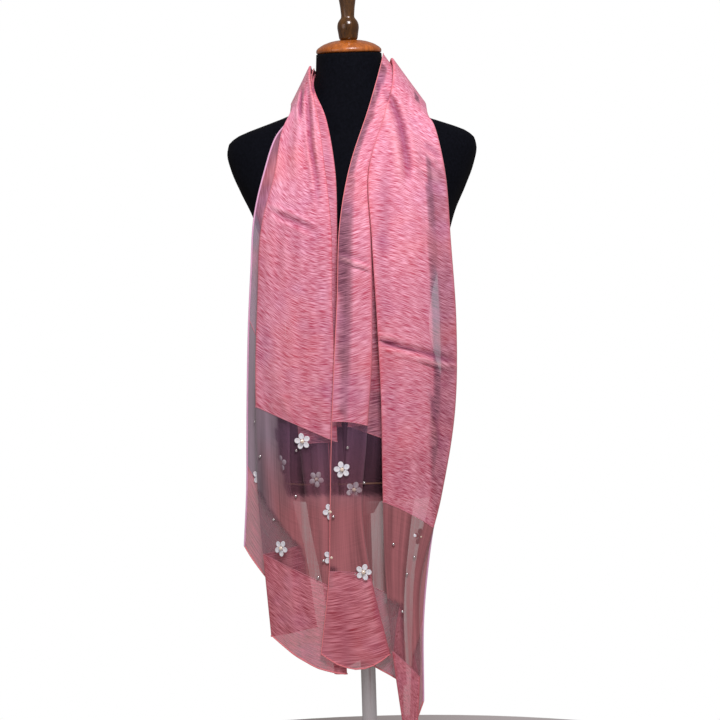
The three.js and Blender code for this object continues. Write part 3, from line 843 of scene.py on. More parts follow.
def crepe_material(name, pale, deep, single_layer_shaded_pale, single_layer_shaded_deep, free_shaded_pale, free_shaded_deep, cover):
    material, nodes, bsdf = new_material(name)
    uv = nodes.add("ShaderNodeUVMap").outputs[0]
    doubled = nodes.attribute("doubled")
    free = nodes.attribute("free")
    # Painted shade and light: darker yarn colours where one layer lies alone, brighter ones where layers lie double,
    # and greyish painted shade where the cloth hangs free.
    pale_yarn = nodes.mix(free, nodes.mix(doubled, single_layer_shaded_pale, pale), free_shaded_pale)
    deep_yarn = nodes.mix(free, nodes.mix(doubled, single_layer_shaded_deep, deep), free_shaded_deep)
    # The dye took unevenly: warmer and cooler patches a few centimetres across.
    place = nodes.place()
    warm = nodes.spread(nodes.noise(place, 13.0, 2.0), 0.5, 0.75, 0.0, 0.45)
    cool = nodes.spread(nodes.noise(nodes.stretch(place, (1.0, 1.0, 1.3)), 17.0, 2.0), 0.52, 0.75, 0.0, 0.45)
    pale_yarn = nodes.mix(cool, nodes.mix(warm, pale_yarn, (0.95, 0.36, 0.4, 1)), (0.78, 0.38, 0.6, 1))
    deep_yarn = nodes.mix(cool, nodes.mix(warm, deep_yarn, (0.72, 0.1, 0.12, 1)), (0.45, 0.1, 0.24, 1))
    # Painted shade: lower down the pale yarn turns darker and warmer, where less of the key light falls.
    height = nodes.add("ShaderNodeSeparateXYZ", Vector=place).outputs[2]
    pale_yarn = nodes.mix(nodes.spread(height, 0.95, 0.5, 0.0, 0.55), pale_yarn, (0.8, 0.33, 0.39, 1))
    weave = use_group(nodes, SLUB_WEAVE, UV=uv, Pale_yarn=pale_yarn, Deep_yarn=deep_yarn)
    # Along a fold the colour turns coral red: partly the yarns closing up where the cloth turns, partly a painted
    # highlight along the fold.
    fold = nodes.attribute("fold")
    colour = nodes.mix(nodes.spread(fold, 0.0, 1.0, 0.0, 0.6), weave.outputs["Color"], (0.86, 0.17, 0.2, 1))
    # Painted shade darkens the creases and flute hollows; painted highlight lightens their ridges.
    crease = nodes.attribute("crease")
    colour = nodes.mix(nodes.spread(crease, 0.0, 1.0, 0.0, 0.85), colour, (0.25, 0.04, 0.13, 1))
    colour = nodes.mix(nodes.spread(crease, 0.0, -1.0, 0.0, 0.6), colour, (1.0, 0.5, 0.56, 1))
    nodes.fill(bsdf.inputs["Base Color"], colour)
    nodes.fill(bsdf.inputs["Alpha"], nodes.spread(weave.outputs["Cover"], 0, 1, cover - 0.06, cover + 0.05))
    bump(nodes, bsdf, weave.outputs["Height"], 0.45, 0.0007)
    settle(bsdf, Roughness=0.62, Sheen_Weight=0.2, Sheen_Roughness=0.4, Specular_IOR_Level=0.3)
    return material


def organza_material(name, red, lilac, free_glow_red, free_glow_lilac, cover, free_cover):
    material, nodes, bsdf = new_material(name)
    uv = nodes.add("ShaderNodeUVMap").outputs[0]
    # Over crepe or the dark form the net lets their colour through. Hanging free in a bright room a true net would all
    # but vanish, so there it is made denser than a real one, by choice. It is also painted brighter and redder, a
    # painted glow of the room's light through it. Along a fold the threads close up.
    free = nodes.attribute("free")
    fold = nodes.attribute("fold")
    # Painted light: the net is painted lilac near the top, for cooler light there, and near the outer edges, for a
    # grey background seen through, and red lower down, for warmer light.
    place = nodes.place()
    spot = nodes.add("ShaderNodeSeparateXYZ", Vector=place)
    high = nodes.spread(spot.outputs[2], 0.53, 0.64)
    aside = nodes.spread(nodes.math("ABSOLUTE", spot.outputs[0]), 0.12, 0.15)
    painted_lilac_light = nodes.math("MAXIMUM", high, aside)
    pale = nodes.mix(free, nodes.mix(painted_lilac_light, red, lilac), nodes.mix(painted_lilac_light, free_glow_red, free_glow_lilac))
    threads_node = use_group(
        nodes,
        ORGANZA_THREADS,
        UV=uv,
        Pale_thread=pale,
        Dark_thread=nodes.mix(0.5, pale, (0, 0, 0, 1)),
        Cover=nodes.spread(free, 0.0, 1.0, cover, free_cover),
    )
    nodes.fill(bsdf.inputs["Base Color"], threads_node.outputs["Color"])
    dense = nodes.math("ADD", threads_node.outputs["Alpha"], nodes.math("MULTIPLY", fold, 0.15))
    nodes.fill(bsdf.inputs["Alpha"], nodes.math("MINIMUM", dense, 0.97))
    bump(nodes, bsdf, threads_node.outputs["Height"], 0.2, 0.0003)
    settle(bsdf, Roughness=0.42, Sheen_Weight=0.3, Specular_IOR_Level=0.5)
    return material


CREPE = crepe_material(
    "crepe",
    pale=(1.0, 0.52, 0.68, 1),
    deep=(0.54, 0.045, 0.11, 1),
    single_layer_shaded_pale=(0.42, 0.17, 0.25, 1),
    single_layer_shaded_deep=(0.1, 0.02, 0.05, 1),
    free_shaded_pale=(0.36, 0.29, 0.38, 1),
    free_shaded_deep=(0.15, 0.1, 0.15, 1),
    cover=0.93,
)
END_CREPE = crepe_material(
    "end_crepe",
    pale=(0.85, 0.3, 0.38, 1),
    deep=(0.34, 0.025, 0.05, 1),
    single_layer_shaded_pale=(0.72, 0.28, 0.34, 1),
    single_layer_shaded_deep=(0.24, 0.035, 0.06, 1),
    free_shaded_pale=(0.6, 0.25, 0.3, 1),
    free_shaded_deep=(0.22, 0.05, 0.07, 1),
    cover=0.94,
)
ORGANZA = organza_material(
    "organza",
    red=(0.36, 0.12, 0.16, 1),
    lilac=(0.26, 0.12, 0.22, 1),
    free_glow_red=(0.48, 0.16, 0.18, 1),
    free_glow_lilac=(0.3, 0.22, 0.28, 1),
    cover=0.27,
    free_cover=0.94,
)
middle.data.materials.append(CREPE)
for sheet in (left_end, right_end):
    sheet.data.materials.append(END_CREPE)
for sheet in (left_sheer, right_sheer):
    sheet.data.materials.append(ORGANZA)

# %% [markdown]
# ## The dress form
# A display form is a foam body under a stretched jersey cover. It is lofted through level sections
# with rounded outlines. The heights between the table's sections are filled in with a curve that
# never overshoots them, so the shoulders stay crisp and the waist stays smooth.

# %% Form sections
# Height, half width, reach forwards, reach backwards, all in mm.
FORM_SECTIONS = np.array([
    (540, 109, 84, 86), (547, 115, 89, 92), (590, 125, 93, 99), (640, 132, 92, 100),
    (700, 127, 84, 88), (755, 113, 74, 71), (795, 107, 70, 65), (840, 113, 76, 69),
    (890, 128, 90, 77), (930, 141, 97, 84), (965, 152, 93, 88), (1000, 168, 82, 89),
    (1035, 182, 68, 84), (1058, 187, 60, 77), (1073, 184, 55, 70), (1084, 171, 52, 65),
    (1096, 140, 51, 61), (1108, 105, 50, 58), (1122, 74, 49, 55), (1142, 58, 48, 52),
    (1172, 51, 48, 50), (1204, 49, 48, 48),
], float)
ROUNDNESS = 2.3
BUST_HEIGHT, BUST_APART, BUST_RISE, BUST_WIDE, BUST_TALL = 925, 62, 11, 38, 48
NECK_TOP = 1204
NECK_TILT = math.radians(8)
FORM_SIDES = 144


def gentle_curve(x, xs, ys):
    """A curve through (xs, ys) that never overshoots them."""
    gaps = np.diff(xs)
    slopes = np.diff(ys) / gaps
    tangents = np.zeros(len(xs))
    tangents[0], tangents[-1] = slopes[0], slopes[-1]
    for k in range(1, len(xs) - 1):
        if slopes[k - 1] * slopes[k] > 0:
            a, b = 2 * gaps[k] + gaps[k - 1], gaps[k] + 2 * gaps[k - 1]
            tangents[k] = (a + b) / (a / slopes[k - 1] + b / slopes[k])
    k = np.clip(np.searchsorted(xs, x, side="right") - 1, 0, len(gaps) - 1)
    t = (x - xs[k]) / gaps[k]
    return (
        ys[k] * (1 + 2 * t) * (1 - t) ** 2
        + tangents[k] * gaps[k] * t * (1 - t) ** 2
        + ys[k + 1] * t * t * (3 - 2 * t)
        + tangents[k + 1] * gaps[k] * t * t * (t - 1)
    )


def form_ring(z, sides=FORM_SIDES):
    wide, front, back = (gentle_curve(z, FORM_SECTIONS[:, 0], FORM_SECTIONS[:, k]) for k in (1, 2, 3))
    turn = np.linspace(0, 2 * math.pi, sides, endpoint=False)
    power = 2 / ROUNDNESS
    cosine, sine = np.cos(turn), np.sin(turn)
    x = wide * np.sign(cosine) * np.abs(cosine) ** power
    y = np.where(sine < 0, front, back) * np.sign(sine) * np.abs(sine) ** power
    aside, above = (np.abs(x) - BUST_APART) / BUST_WIDE, (z - BUST_HEIGHT) / BUST_TALL
    y -= (sine < 0) * BUST_RISE * np.abs(sine) * np.exp(-(aside**2) - above**2)
    lean = smooth(z, 1142, NECK_TOP) * math.tan(NECK_TILT)
    return np.stack([x, y, z + y * lean], axis=1)


def between_rings(count, n):
    """Faces that join each of `count` rings of n points to the next."""
    return [
        (r * n + k, r * n + (k + 1) % n, (r + 1) * n + (k + 1) % n, (r + 1) * n + k)
        for r in range(count - 1)
        for k in range(n)
    ]


def lofted(name, heights):
    """A closed skin through level rings."""
    rings = [form_ring(z) for z in heights]
    points = np.concatenate(rings)
    n = FORM_SIDES
    faces = between_rings(len(rings), n)
    faces += [tuple(range(n))[::-1], tuple((len(rings) - 1) * n + k for k in range(n))]
    return new_mesh_object(name, points, faces)


form_heights = np.unique(np.concatenate([np.arange(568, 1204, 5.5), FORM_SECTIONS[3:, 0]]))
form_cover = lofted("form_cover", form_heights[form_heights >= 567.6])
lower_cover = lofted("form_lower_cover", np.array([540, 541, 543.5, 547, 551, 556, 561, 565.4]))
print("form rings:", len(form_heights))

# %% [markdown]
# ### Jersey and the gold line
# The cover is a fine black knit. It shows only a soft sheen at the edges and a dust of lint. A thin
# woven line in old gold covers the seam near the lower edge.


# %% Jersey material
def jersey_material():
    material, nodes, bsdf = new_material("black_jersey")
    place = nodes.place()
    knit = nodes.noise(nodes.stretch(place, (1100.0, 1100.0, 700.0)), 1.0, 1.0)
    lint = nodes.noise(place, 260.0, 3.0)
    tone = nodes.weigh((knit, 0.5), (lint, 0.5))
    colour = nodes.mix(nodes.spread(tone, 0.35, 0.7), (0.001, 0.0015, 0.003, 1), (0.004, 0.005, 0.009, 1))
    nodes.fill(bsdf.inputs["Base Color"], colour)
    bump(nodes, bsdf, knit, 0.25, 0.0004)
    settle(bsdf, Roughness=0.85, Specular_IOR_Level=0.06, Sheen_Weight=0.01)
    return material


def gold_line_material():
    material, nodes, bsdf = new_material("gold_line")
    place = nodes.place()
    twist = nodes.add("ShaderNodeTexWave", {"bands_direction": "DIAGONAL"}, Vector=place, Scale=260.0, Distortion=1.5)
    colour = nodes.mix(twist.outputs["Fac"], (0.12, 0.055, 0.02, 1), (0.42, 0.26, 0.1, 1))
    nodes.fill(bsdf.inputs["Base Color"], colour)
    bump(nodes, bsdf, twist.outputs["Fac"], 0.4, 0.0004)
    settle(bsdf, Roughness=0.45, Metallic=0.2)
    return material


JERSEY, GOLD_LINE = jersey_material(), gold_line_material()
form_cover.data.materials.append(JERSEY)
lower_cover.data.materials.append(JERSEY)


def ring_tube(name, height, out, radius, sides=10):
    """A closed tube round the form at a height, `out` mm proud of it."""
    ring = form_ring(height, 160)
    outward = ring[:, :2] / np.linalg.norm(ring[:, :2], axis=1, keepdims=True)
    points = []
    for k in range(sides):
        turn = 2 * math.pi * k / sides
        step = out + radius * math.cos(turn)
        points.append(np.column_stack([ring[:, :2] + outward * step, ring[:, 2] + radius * math.sin(turn)]))
    points = np.stack(points, axis=1).reshape(-1, 3)
    n = len(ring)
    faces = [
        (
            i * sides + k, i * sides + (k + 1) % sides,
            ((i + 1) % n) * sides + (k + 1) % sides, ((i + 1) % n) * sides + k,
        )
        for i in range(n)
        for k in range(sides)
    ]
    return new_mesh_object(name, points, [face[::-1] for face in faces])


gold_line = ring_tube("gold_line", 566.5, 0.1, 1.25)
gold_line.data.materials.append(GOLD_LINE)

# %% [markdown]
# ## Turned wood and steel
# The neck cap, the finial and the base are turned on a lathe, so each is one profile spun round the
# axis. The profile is drawn with plain corners, and each is then rounded by a small arc.


# %% Lathe
def lathe(name, profile, sides=96, tilt=0.0, lift=(0, 0, 0), upside_down=False, bore=0.0):
    """Spins (radius, height) pairs. Poles are single points, or the bore's wall closes the shape."""
    rings = [(max(r, bore), z) for r, z in profile]
    points, faces, index = [], [], []
    for r, z in rings:
        if r == 0:
            index.append([len(points)] * sides)
            points.append((0, 0, z))
        else:
            index.append(list(range(len(points), len(points) + sides)))
            turn = np.linspace(0, 2 * math.pi, sides, endpoint=False)
            points += [(r * math.cos(t), r * math.sin(t), z) for t in turn]
    loops = list(zip(index, index[1:]))
    if bore:
        loops.append((index[-1], index[0]))
    for low, high in loops:
        for k in range(sides):
            face = [low[k], low[(k + 1) % sides], high[(k + 1) % sides], high[k]]
            face = list(dict.fromkeys(face))
            if len(face) > 2:
                faces.append(face)
    points = np.array(points, float)
    if upside_down:
        points *= (1, 1, -1)
        faces = [face[::-1] for face in faces]
    turned = Matrix.Rotation(tilt, 3, "X")
    points = points @ np.array(turned).T + np.array(lift)
    return new_mesh_object(name, points, faces)


def soften(profile, corner=0.8, steps=4):
    """Rounds each corner of a profile by a small arc."""
    points = [np.array(p, float) for p in profile]
    result = [points[0]]
    for before, point, after in zip(points, points[1:], points[2:]):
        back, ahead = before - point, after - point
        reach = min(corner, 0.45 * np.linalg.norm(back), 0.45 * np.linalg.norm(ahead))
        a = point + back / np.linalg.norm(back) * reach
        b = point + ahead / np.linalg.norm(ahead) * reach
        for t in np.linspace(0, 1, steps):
            result.append((1 - t) ** 2 * a + 2 * t * (1 - t) * point + t * t * b)
    result.append(points[-1])
    return [tuple(p) for p in result]


CAP_PROFILE = [(0, 0), (46, 0), (49, 2), (49, 6), (46.5, 9), (39, 14), (28, 18), (18, 20), (0, 20)]
FINIAL_PROFILE = [
    (0, 0), (13.6, 0), (14.6, 8), (16.3, 18), (15.8, 24), (13.5, 29), (9.8, 33), (9.9, 38),
    (10.8, 48), (12.6, 60), (15.6, 72), (17, 82), (15.6, 91), (10.5, 97.5), (0, 100),
]
BASE_PROFILE = [(0, 0), (156, 0), (160, 4), (160, 12), (155, 18), (142, 22), (0, 22)]
COLLAR_PROFILE = [(0, 0), (30, 0), (30, 5), (19, 12), (16, 24), (0, 24)]
POLE_R, POLE_LOW, POLE_HIGH = 11, 22.3, 539.7

up_the_neck = Vector((0, -math.sin(NECK_TILT), math.cos(NECK_TILT)))
cap_place = Vector((0, 0, NECK_TOP + 0.3))
cap = lathe("neck_cap_turned", soften(CAP_PROFILE, 3), 128, NECK_TILT, cap_place)
finial = lathe("finial_turned", soften(FINIAL_PROFILE, 4), 96, NECK_TILT, cap_place + up_the_neck * 20.3)
base = lathe("base_turned", soften(BASE_PROFILE, 2.5), 160)
POLE_EDGE, CLEARANCE = 0.6, 0.3
pole_profile = [
    (0, POLE_LOW), (POLE_R - POLE_EDGE, POLE_LOW), (POLE_R, POLE_LOW + POLE_EDGE),
    (POLE_R, POLE_HIGH - POLE_EDGE), (POLE_R - POLE_EDGE, POLE_HIGH), (0, POLE_HIGH),
]
pole = lathe("pole_tube", pole_profile, 64)
collar_profile = soften(COLLAR_PROFILE[1:-1], 1.2)
low_collar = lathe(
    "base_collar_turned", collar_profile, 64, lift=(0, 0, POLE_LOW), bore=POLE_R + CLEARANCE
)
high_collar = lathe(
    "form_collar_turned", collar_profile, 64, lift=(0, 0, POLE_HIGH), upside_down=True, bore=POLE_R + CLEARANCE
)


# %% Wood and steel materials
def wood_material(name, light, dark, coat, scale, wear):
    material, nodes, bsdf = new_material(name)
    place = nodes.place()
    grain = use_group(
        nodes, WOOD_GRAIN, Position=place, Light_wood=light, Dark_wood=dark, Grain_scale=scale, Wear=wear
    )
    nodes.fill(bsdf.inputs["Base Color"], grain.outputs["Color"])
    nodes.fill(bsdf.inputs["Roughness"], grain.outputs["Roughness"])
    bump(nodes, bsdf, grain.outputs["Height"], 0.15, 0.0003)
    settle(bsdf, Coat_Weight=coat, Coat_Roughness=0.08)
    return material


def steel_material():
    material, nodes, bsdf = new_material("brushed_steel")
    place = nodes.place()
    brushing = nodes.noise(nodes.stretch(place, (3000.0, 3000.0, 18.0)), 1.0, 2.0)
    nodes.fill(bsdf.inputs["Base Color"], nodes.mix(brushing, (0.5, 0.5, 0.51, 1), (0.68, 0.68, 0.69, 1)))
    nodes.fill(bsdf.inputs["Roughness"], nodes.spread(brushing, 0.3, 0.7, 0.22, 0.38))
    bump(nodes, bsdf, brushing, 0.08, 0.0002)
    settle(bsdf, Metallic=1.0)
    return material


CAP_WOOD = wood_material("orange_brown_wood", (0.52, 0.15, 0.02, 1), (0.2, 0.045, 0.005, 1), 0.35, 40.0, 0.06)
DARK_WOOD = wood_material("dark_brown_wood", (0.1, 0.04, 0.005, 1), (0.02, 0.008, 0.001, 1), 0.35, 55.0, 0.03)
STEEL = steel_material()
for piece, material in (
    (cap, CAP_WOOD), (finial, DARK_WOOD), (base, CAP_WOOD), (pole, STEEL), (low_collar, STEEL), (high_collar, STEEL)
):
    piece.data.materials.append(material)

# %% [markdown]
# ### Where the cloth lies double
# One layer of thin crepe over the black form is painted in a darker, duller shade, and hanging free in a greyish lilac
# shade; the bright colour over another layer is painted light.
# Over another layer of crepe it looks bright. Each point of the cloth feels through the stack of layers, both ways,
# for crepe and for the form, and keeps the answer as an attribute that the material reads. Three places are then set,
# as the comments in the loop say.

# %% Count the layers
LAYER_REACH = 0.045  # how far layers are felt for, in metres
FREE_REACH = 0.14  # cloth with nothing nearer than this hangs free
FEELER_START, FEELER_STEP = 0.0012, 0.0006  # clear of the cloth itself, and of a layer just met
crepe_sheets = (left_end, middle, right_end)


def crepe_tree(skip_outer_right):
    """All crepe in one search tree, or all but the narrow outer turnings of the right tail."""
    points, faces = [], []
    for sheet in crepe_sheets:
        shift = len(points)
        points += [v.co.copy() for v in sheet.data.vertices]
        for face in sheet.data.polygons:
            column = face.vertices[0] // (len(sheet.data.vertices) // len(COLUMNS))
            outer = COLUMNS[column][0] >= 4
            if not (skip_outer_right and outer and face.center.x > 0.02 and face.center.y < -0.08):
                faces.append([index + shift for index in face.vertices])
    return BVHTree.FromPolygons(points, faces)


def form_tree():
    """The form's skin, a little narrow and short, so that its edge draws no line on the cloth."""
    narrow, levels = 0.94, np.linspace(550, 1200, 120)
    points = [Vector((p[0] * narrow, p[1], p[2])) * MM for z in levels for p in form_ring(z)]
    return BVHTree.FromPolygons(points, between_rings(len(levels), FORM_SIDES))


inner_tree, all_crepe, form_skin = crepe_tree(True), crepe_tree(False), form_tree()


def feelers(point, normal):
    """The tails are stacked from back to front, and the cloth round the neck along its normal."""
    heading = normal if point.z > 1.09 else Vector((0, 1, 0))
    return heading, -heading


def layers_near(point, normal, tree):
    count = 0
    for heading in feelers(point, normal):
        start, left = point + heading * FEELER_START, LAYER_REACH
        while left > 0 and count < 2:
            hit, _, _, distance = tree.ray_cast(start, heading, left)
            if hit is None:
                break
            count += 1
            start, left = hit + heading * FEELER_STEP, left - distance - FEELER_STEP
    return count


def hangs_free(point, normal):
    """True where neither crepe nor the form is near on either side."""
    for heading in feelers(point, normal):
        for tree in (all_crepe, form_skin):
            if tree.ray_cast(point + heading * FEELER_START, heading, FREE_REACH)[0] is not None:
                return False
    return True


def widened(values):
    """Each value becomes the largest of itself and its four neighbours."""
    edge = np.pad(values, 1, mode="edge")
    return np.max([values, edge[:-2, 1:-1], edge[2:, 1:-1], edge[1:-1, :-2], edge[1:-1, 2:]], axis=0)


def blurred(values, passes):
    for _ in range(passes):
        edge = np.pad(values, 1, mode="edge")
        around = edge[:-2, 1:-1] + edge[2:, 1:-1] + edge[1:-1, :-2] + edge[1:-1, 2:]
        values = (around + 4 * values) / 8
    return values


for sheet in crepe_sheets:
    rows = len(sheet.data.vertices) // len(COLUMNS)
    layers, free = [], []
    for k, v in enumerate(sheet.data.vertices):
        panel = COLUMNS[k // rows][0]
        shifts = (-0.007, 0, 0.007) if panel == 4 and v.co.y < -0.05 else (0,)
        count = max(layers_near(v.co + Vector((shift, 0, 0)), v.normal, inner_tree) for shift in shifts)
        # The wide right front keeps its painted light, the bright double colour, down to the hem, where no layer lies
        # behind it.
        if panel == 4 and v.co.x > 0.02 and v.co.z < 0.72:
            count = max(count, 1 - smooth(v.co.x / MM, 95, 103))
        # Its outer strip, with only the narrow turnings behind, is painted brighter than a single layer.
        if count < 0.5 and v.co.x > 0.02 and layers_near(v.co, v.normal, all_crepe):
            count = max(count, 0.5)
        # The cloth behind the neck counts as double everywhere, so that no stripe of painted single-layer shade
        # crosses it.
        if v.co.y > -0.03:
            count = max(count, 1)
        layers.append(count)
        free.append(count == 0 and hangs_free(v.co, v.normal))
    layers = blurred(np.reshape(np.array(layers, float), (len(COLUMNS), rows)), 1)
    free = blurred(np.reshape(np.array(free, float), (len(COLUMNS), rows)), 2)
    put_attribute(sheet, "doubled", np.interp(layers, [0, 1, 2], [0.0, 0.85, 1.0]))
    put_attribute(sheet, "free", free)
    print(f"{sheet.name}: {np.mean(layers < 0.5):.0%} single, {np.mean(free > 0.5):.0%} hangs free")

for sheet in (left_sheer, right_sheer):
    free = [hangs_free(v.co, v.normal) for v in sheet.data.vertices]
    free = blurred(widened(np.reshape(np.array(free, float), (len(COLUMNS), -1))), 1)
    put_attribute(sheet, "free", free)
    print(f"{sheet.name}: {np.mean(free > 0.5):.0%} hangs free")

# %% [markdown]
# ## Hems, selvedges and seams
# A soft scarf has a rolled hem: the raw edge is turned in on itself and whipped down. The selvedges
# are a firm woven cord. Both are a tube along an edge, which Geometry Nodes sweep from the line of
# points, and the whipping is a short stitch repeated at an even distance along the same line.


# %% Geometry Nodes helpers
class GeometryTree(Nodes):
    """A Geometry Nodes tree with named inputs. The host's own geometry comes in first."""

    def __init__(self, name, inputs):
        self.tree = bpy.data.node_groups.new(name, "GeometryNodeTree")
        self.tree.interface.new_socket(name="Geometry", in_out="INPUT", socket_type="NodeSocketGeometry")
        for label, kind, value in inputs:
            socket = self.tree.interface.new_socket(name=label, in_out="INPUT", socket_type=kind)
            if value is not None:
                socket.default_value = value
        self.tree.interface.new_socket(name="Geometry", in_out="OUTPUT", socket_type="NodeSocketGeometry")
        self.given = self.tree.nodes.new("NodeGroupInput").outputs
        self.result = self.tree.nodes.new("NodeGroupOutput").inputs[0]

    def finish(self, geometry):
        smooth_shade = self.add("GeometryNodeSetShadeSmooth", Geometry=geometry)
        real = self.add("GeometryNodeRealizeInstances", Geometry=smooth_shade.outputs[0])
        paint = self.add("GeometryNodeSetMaterial", Geometry=real.outputs[0], Material=self.given["Material"])
        self.tree.links.new(paint.outputs[0], self.result)
        return self.tree


def grow(name, host, tree, **values):
    """Runs a tree on a host mesh and gives back the result as a plain mesh object."""
    modifier = host.modifiers.new("grow", "NODES")
    modifier.node_group = tree
    sockets = {item.name: item.identifier for item in tree.interface.items_tree if item.in_out == "INPUT"}
    for key, value in values.items():
        modifier[sockets[key.replace("_", " ")]] = value
    bpy.context.view_layer.update()
    graph = bpy.context.evaluated_depsgraph_get()
    mesh = bpy.data.meshes.new_from_object(host.evaluated_get(graph))
    host_mesh = host.data
    bpy.data.objects.remove(host)
    bpy.data.meshes.remove(host_mesh)
    mesh.name = name
    obj = bpy.data.objects.new(name, mesh)
    scene.collection.objects.link(obj)
    print(f"{name}: {sum(len(face.vertices) - 2 for face in mesh.polygons)} triangles")
    return obj


def line_host(lines):
    """A mesh of open lines, with the outward direction kept at every point."""
    points, edges, outward = [], [], []
    for line, out in lines:
        first = len(points)
        points += [tuple(p * MM) for p in line]
        outward += [tuple(o) for o in out]
        edges += [(first + k, first + k + 1) for k in range(len(line) - 1)]
    mesh = bpy.data.meshes.new("lines")
    mesh.from_pydata(points, edges, [])
    attribute = mesh.attributes.new("outward", "FLOAT_VECTOR", "POINT")
    attribute.data.foreach_set("vector", np.array(outward, float).ravel())
    obj = bpy.data.objects.new("lines", mesh)
    scene.collection.objects.link(obj)
    return obj


# %% Rolled edge tree
def build_rolled_edge():
    g = GeometryTree("rolled_edge", [
        ("Radius", "NodeSocketFloat", 0.0007), ("Sides", "NodeSocketInt", 6),
        ("Material", "NodeSocketMaterial", None),
    ])
    line = g.add("GeometryNodeMeshToCurve", Mesh=g.given["Geometry"])
    ring = g.add("GeometryNodeCurvePrimitiveCircle", Resolution=g.given["Sides"], Radius=g.given["Radius"])
    tube = g.add("GeometryNodeCurveToMesh", Curve=line.outputs[0], Profile_Curve=ring.outputs[0], Fill_Caps=True)
    return g.finish(tube.outputs[0])


# %% Stitch tree
def build_stitches():
    g = GeometryTree("stitches", [
        ("Spacing", "NodeSocketFloat", 0.004), ("Length", "NodeSocketFloat", 0.0024),
        ("Thread", "NodeSocketFloat", 0.00032), ("Lean", "NodeSocketFloat", 0.0),
        ("Material", "NodeSocketMaterial", None),
    ])
    line = g.add("GeometryNodeMeshToCurve", Mesh=g.given["Geometry"])
    even = g.add("GeometryNodeResampleCurve", {"mode": "LENGTH"}, Curve=line.outputs[0], Length=g.given["Spacing"])
    outward = g.add("GeometryNodeInputNamedAttribute", {"data_type": "FLOAT_VECTOR"}, Name="outward")
    tangent = g.add("GeometryNodeInputTangent").outputs[0]
    along = g.add("FunctionNodeAlignRotationToVector", {"axis": "X"}, Vector=tangent)
    facing = g.add(
        "FunctionNodeAlignRotationToVector", {"axis": "Z", "pivot_axis": "X"},
        Rotation=along.outputs[0], Vector=outward.outputs["Attribute"],
    )
    lean = g.add("ShaderNodeCombineXYZ", Z=g.given["Lean"])
    turned = g.add("FunctionNodeRotateRotation", {"rotation_space": "LOCAL"}, Rotation=facing.outputs[0])
    g.tree.links.new(g.add("FunctionNodeEulerToRotation", Euler=lean.outputs[0]).outputs[0], turned.inputs[1])
    stitch = g.add("GeometryNodeMeshUVSphere", Segments=6, Rings=5, Radius=0.5)
    size = g.add("ShaderNodeCombineXYZ", X=g.given["Length"], Y=g.given["Thread"], Z=g.given["Thread"])
    placed = g.add(
        "GeometryNodeInstanceOnPoints",
        Points=even.outputs[0], Instance=stitch.outputs[0], Rotation=turned.outputs[0], Scale=size.outputs[0],
    )
    return g.finish(placed.outputs[0])


ROLLED_EDGE, STITCHES = build_rolled_edge(), build_stitches()


# %% Edges of the cloth
def thread_material(name, light, dark):
    material, nodes, bsdf = new_material(name)
    place = nodes.place()
    twist = nodes.add("ShaderNodeTexWave", {"bands_direction": "DIAGONAL"}, Vector=place, Scale=420.0, Distortion=2.0)
    tint = nodes.noise(place, 70.0, 2.0)
    tone = nodes.weigh((twist.outputs["Fac"], 0.5), (tint, 0.5))
    nodes.fill(bsdf.inputs["Base Color"], nodes.mix(tone, dark, light))
    bump(nodes, bsdf, twist.outputs["Fac"], 0.3, 0.0003)
    settle(bsdf, Roughness=0.6, Sheen_Weight=0.3)
    return material


CORAL_THREAD = thread_material("coral_thread", (0.95, 0.32, 0.34, 1), (0.7, 0.12, 0.15, 1))
LILAC_THREAD = thread_material("lilac_thread", (0.95, 0.6, 0.8, 1), (0.62, 0.25, 0.48, 1))
SEAM_THREAD = thread_material("seam_thread", (0.7, 0.28, 0.36, 1), (0.4, 0.1, 0.16, 1))

all_points = np.concatenate(
    [left_end_points, left_sheer_points, middle_points, right_sheer_points, right_end_points], axis=1
)


def directions(grid):
    """Unit normals of a grid of cloth points, turned to the front where they can be."""
    across = np.gradient(grid, axis=0)
    along = np.gradient(grid, axis=1)
    normal = np.cross(along, across)
    normal /= np.maximum(np.linalg.norm(normal, axis=2, keepdims=True), 1e-9)
    return np.where(normal[..., 1:2] > 0, -normal, normal)


all_normals = directions(all_points)
inner_line = (all_points[0], all_normals[0])
outer_line = (all_points[-1], all_normals[-1])
left_hem = (left_end_points[:, 0], directions(left_end_points)[:, 0])
right_hem = (right_end_points[:, -1], directions(right_end_points)[:, -1])

inner_selvedge = grow("inner_selvedge", line_host([inner_line]), ROLLED_EDGE, Radius=0.0006, Material=CORAL_THREAD)
outer_selvedge = grow("outer_selvedge", line_host([outer_line]), ROLLED_EDGE, Radius=0.0013, Material=LILAC_THREAD)
hems = grow("rolled_hems", line_host([left_hem, right_hem]), ROLLED_EDGE, Radius=0.001, Material=CORAL_THREAD)


def whipped(line, lift):
    points, out = line
    return points + out * lift, out


hem_stitches = grow(
    "hem_stitches",
    line_host([whipped(left_hem, 0.75), whipped(right_hem, 0.75)]),
    STITCHES, Spacing=0.0042, Length=0.0026, Thread=0.0005, Lean=0.9, Material=SEAM_THREAD,
)


def seam_line(grid, row):
    return grid[:, row], directions(grid)[:, row]


seam_lines = [
    seam_line(left_end_points, -1), seam_line(middle_points, 0),
    seam_line(middle_points, -1), seam_line(right_end_points, 0),
]
seams = grow("seam_cords", line_host(seam_lines), ROLLED_EDGE, Radius=0.00055, Material=SEAM_THREAD)
seam_stitches = grow(
    "seam_stitches",
    line_host([whipped(line, 0.4) for line in seam_lines]),
    STITCHES, Spacing=0.003, Length=0.0022, Thread=0.0004, Lean=1.1, Material=CORAL_THREAD,
)

# %% [markdown]
# ## Flowers, pearls and beads
# Each flower has five white petals, pressed from thin shell-like plastic with a slight cup, and a
# pearl sewn in the middle. One petal is drawn, and Geometry Nodes repeat it round the centre. Round
# silver beads are sewn on between the flowers, one where each point of a host mesh lies.


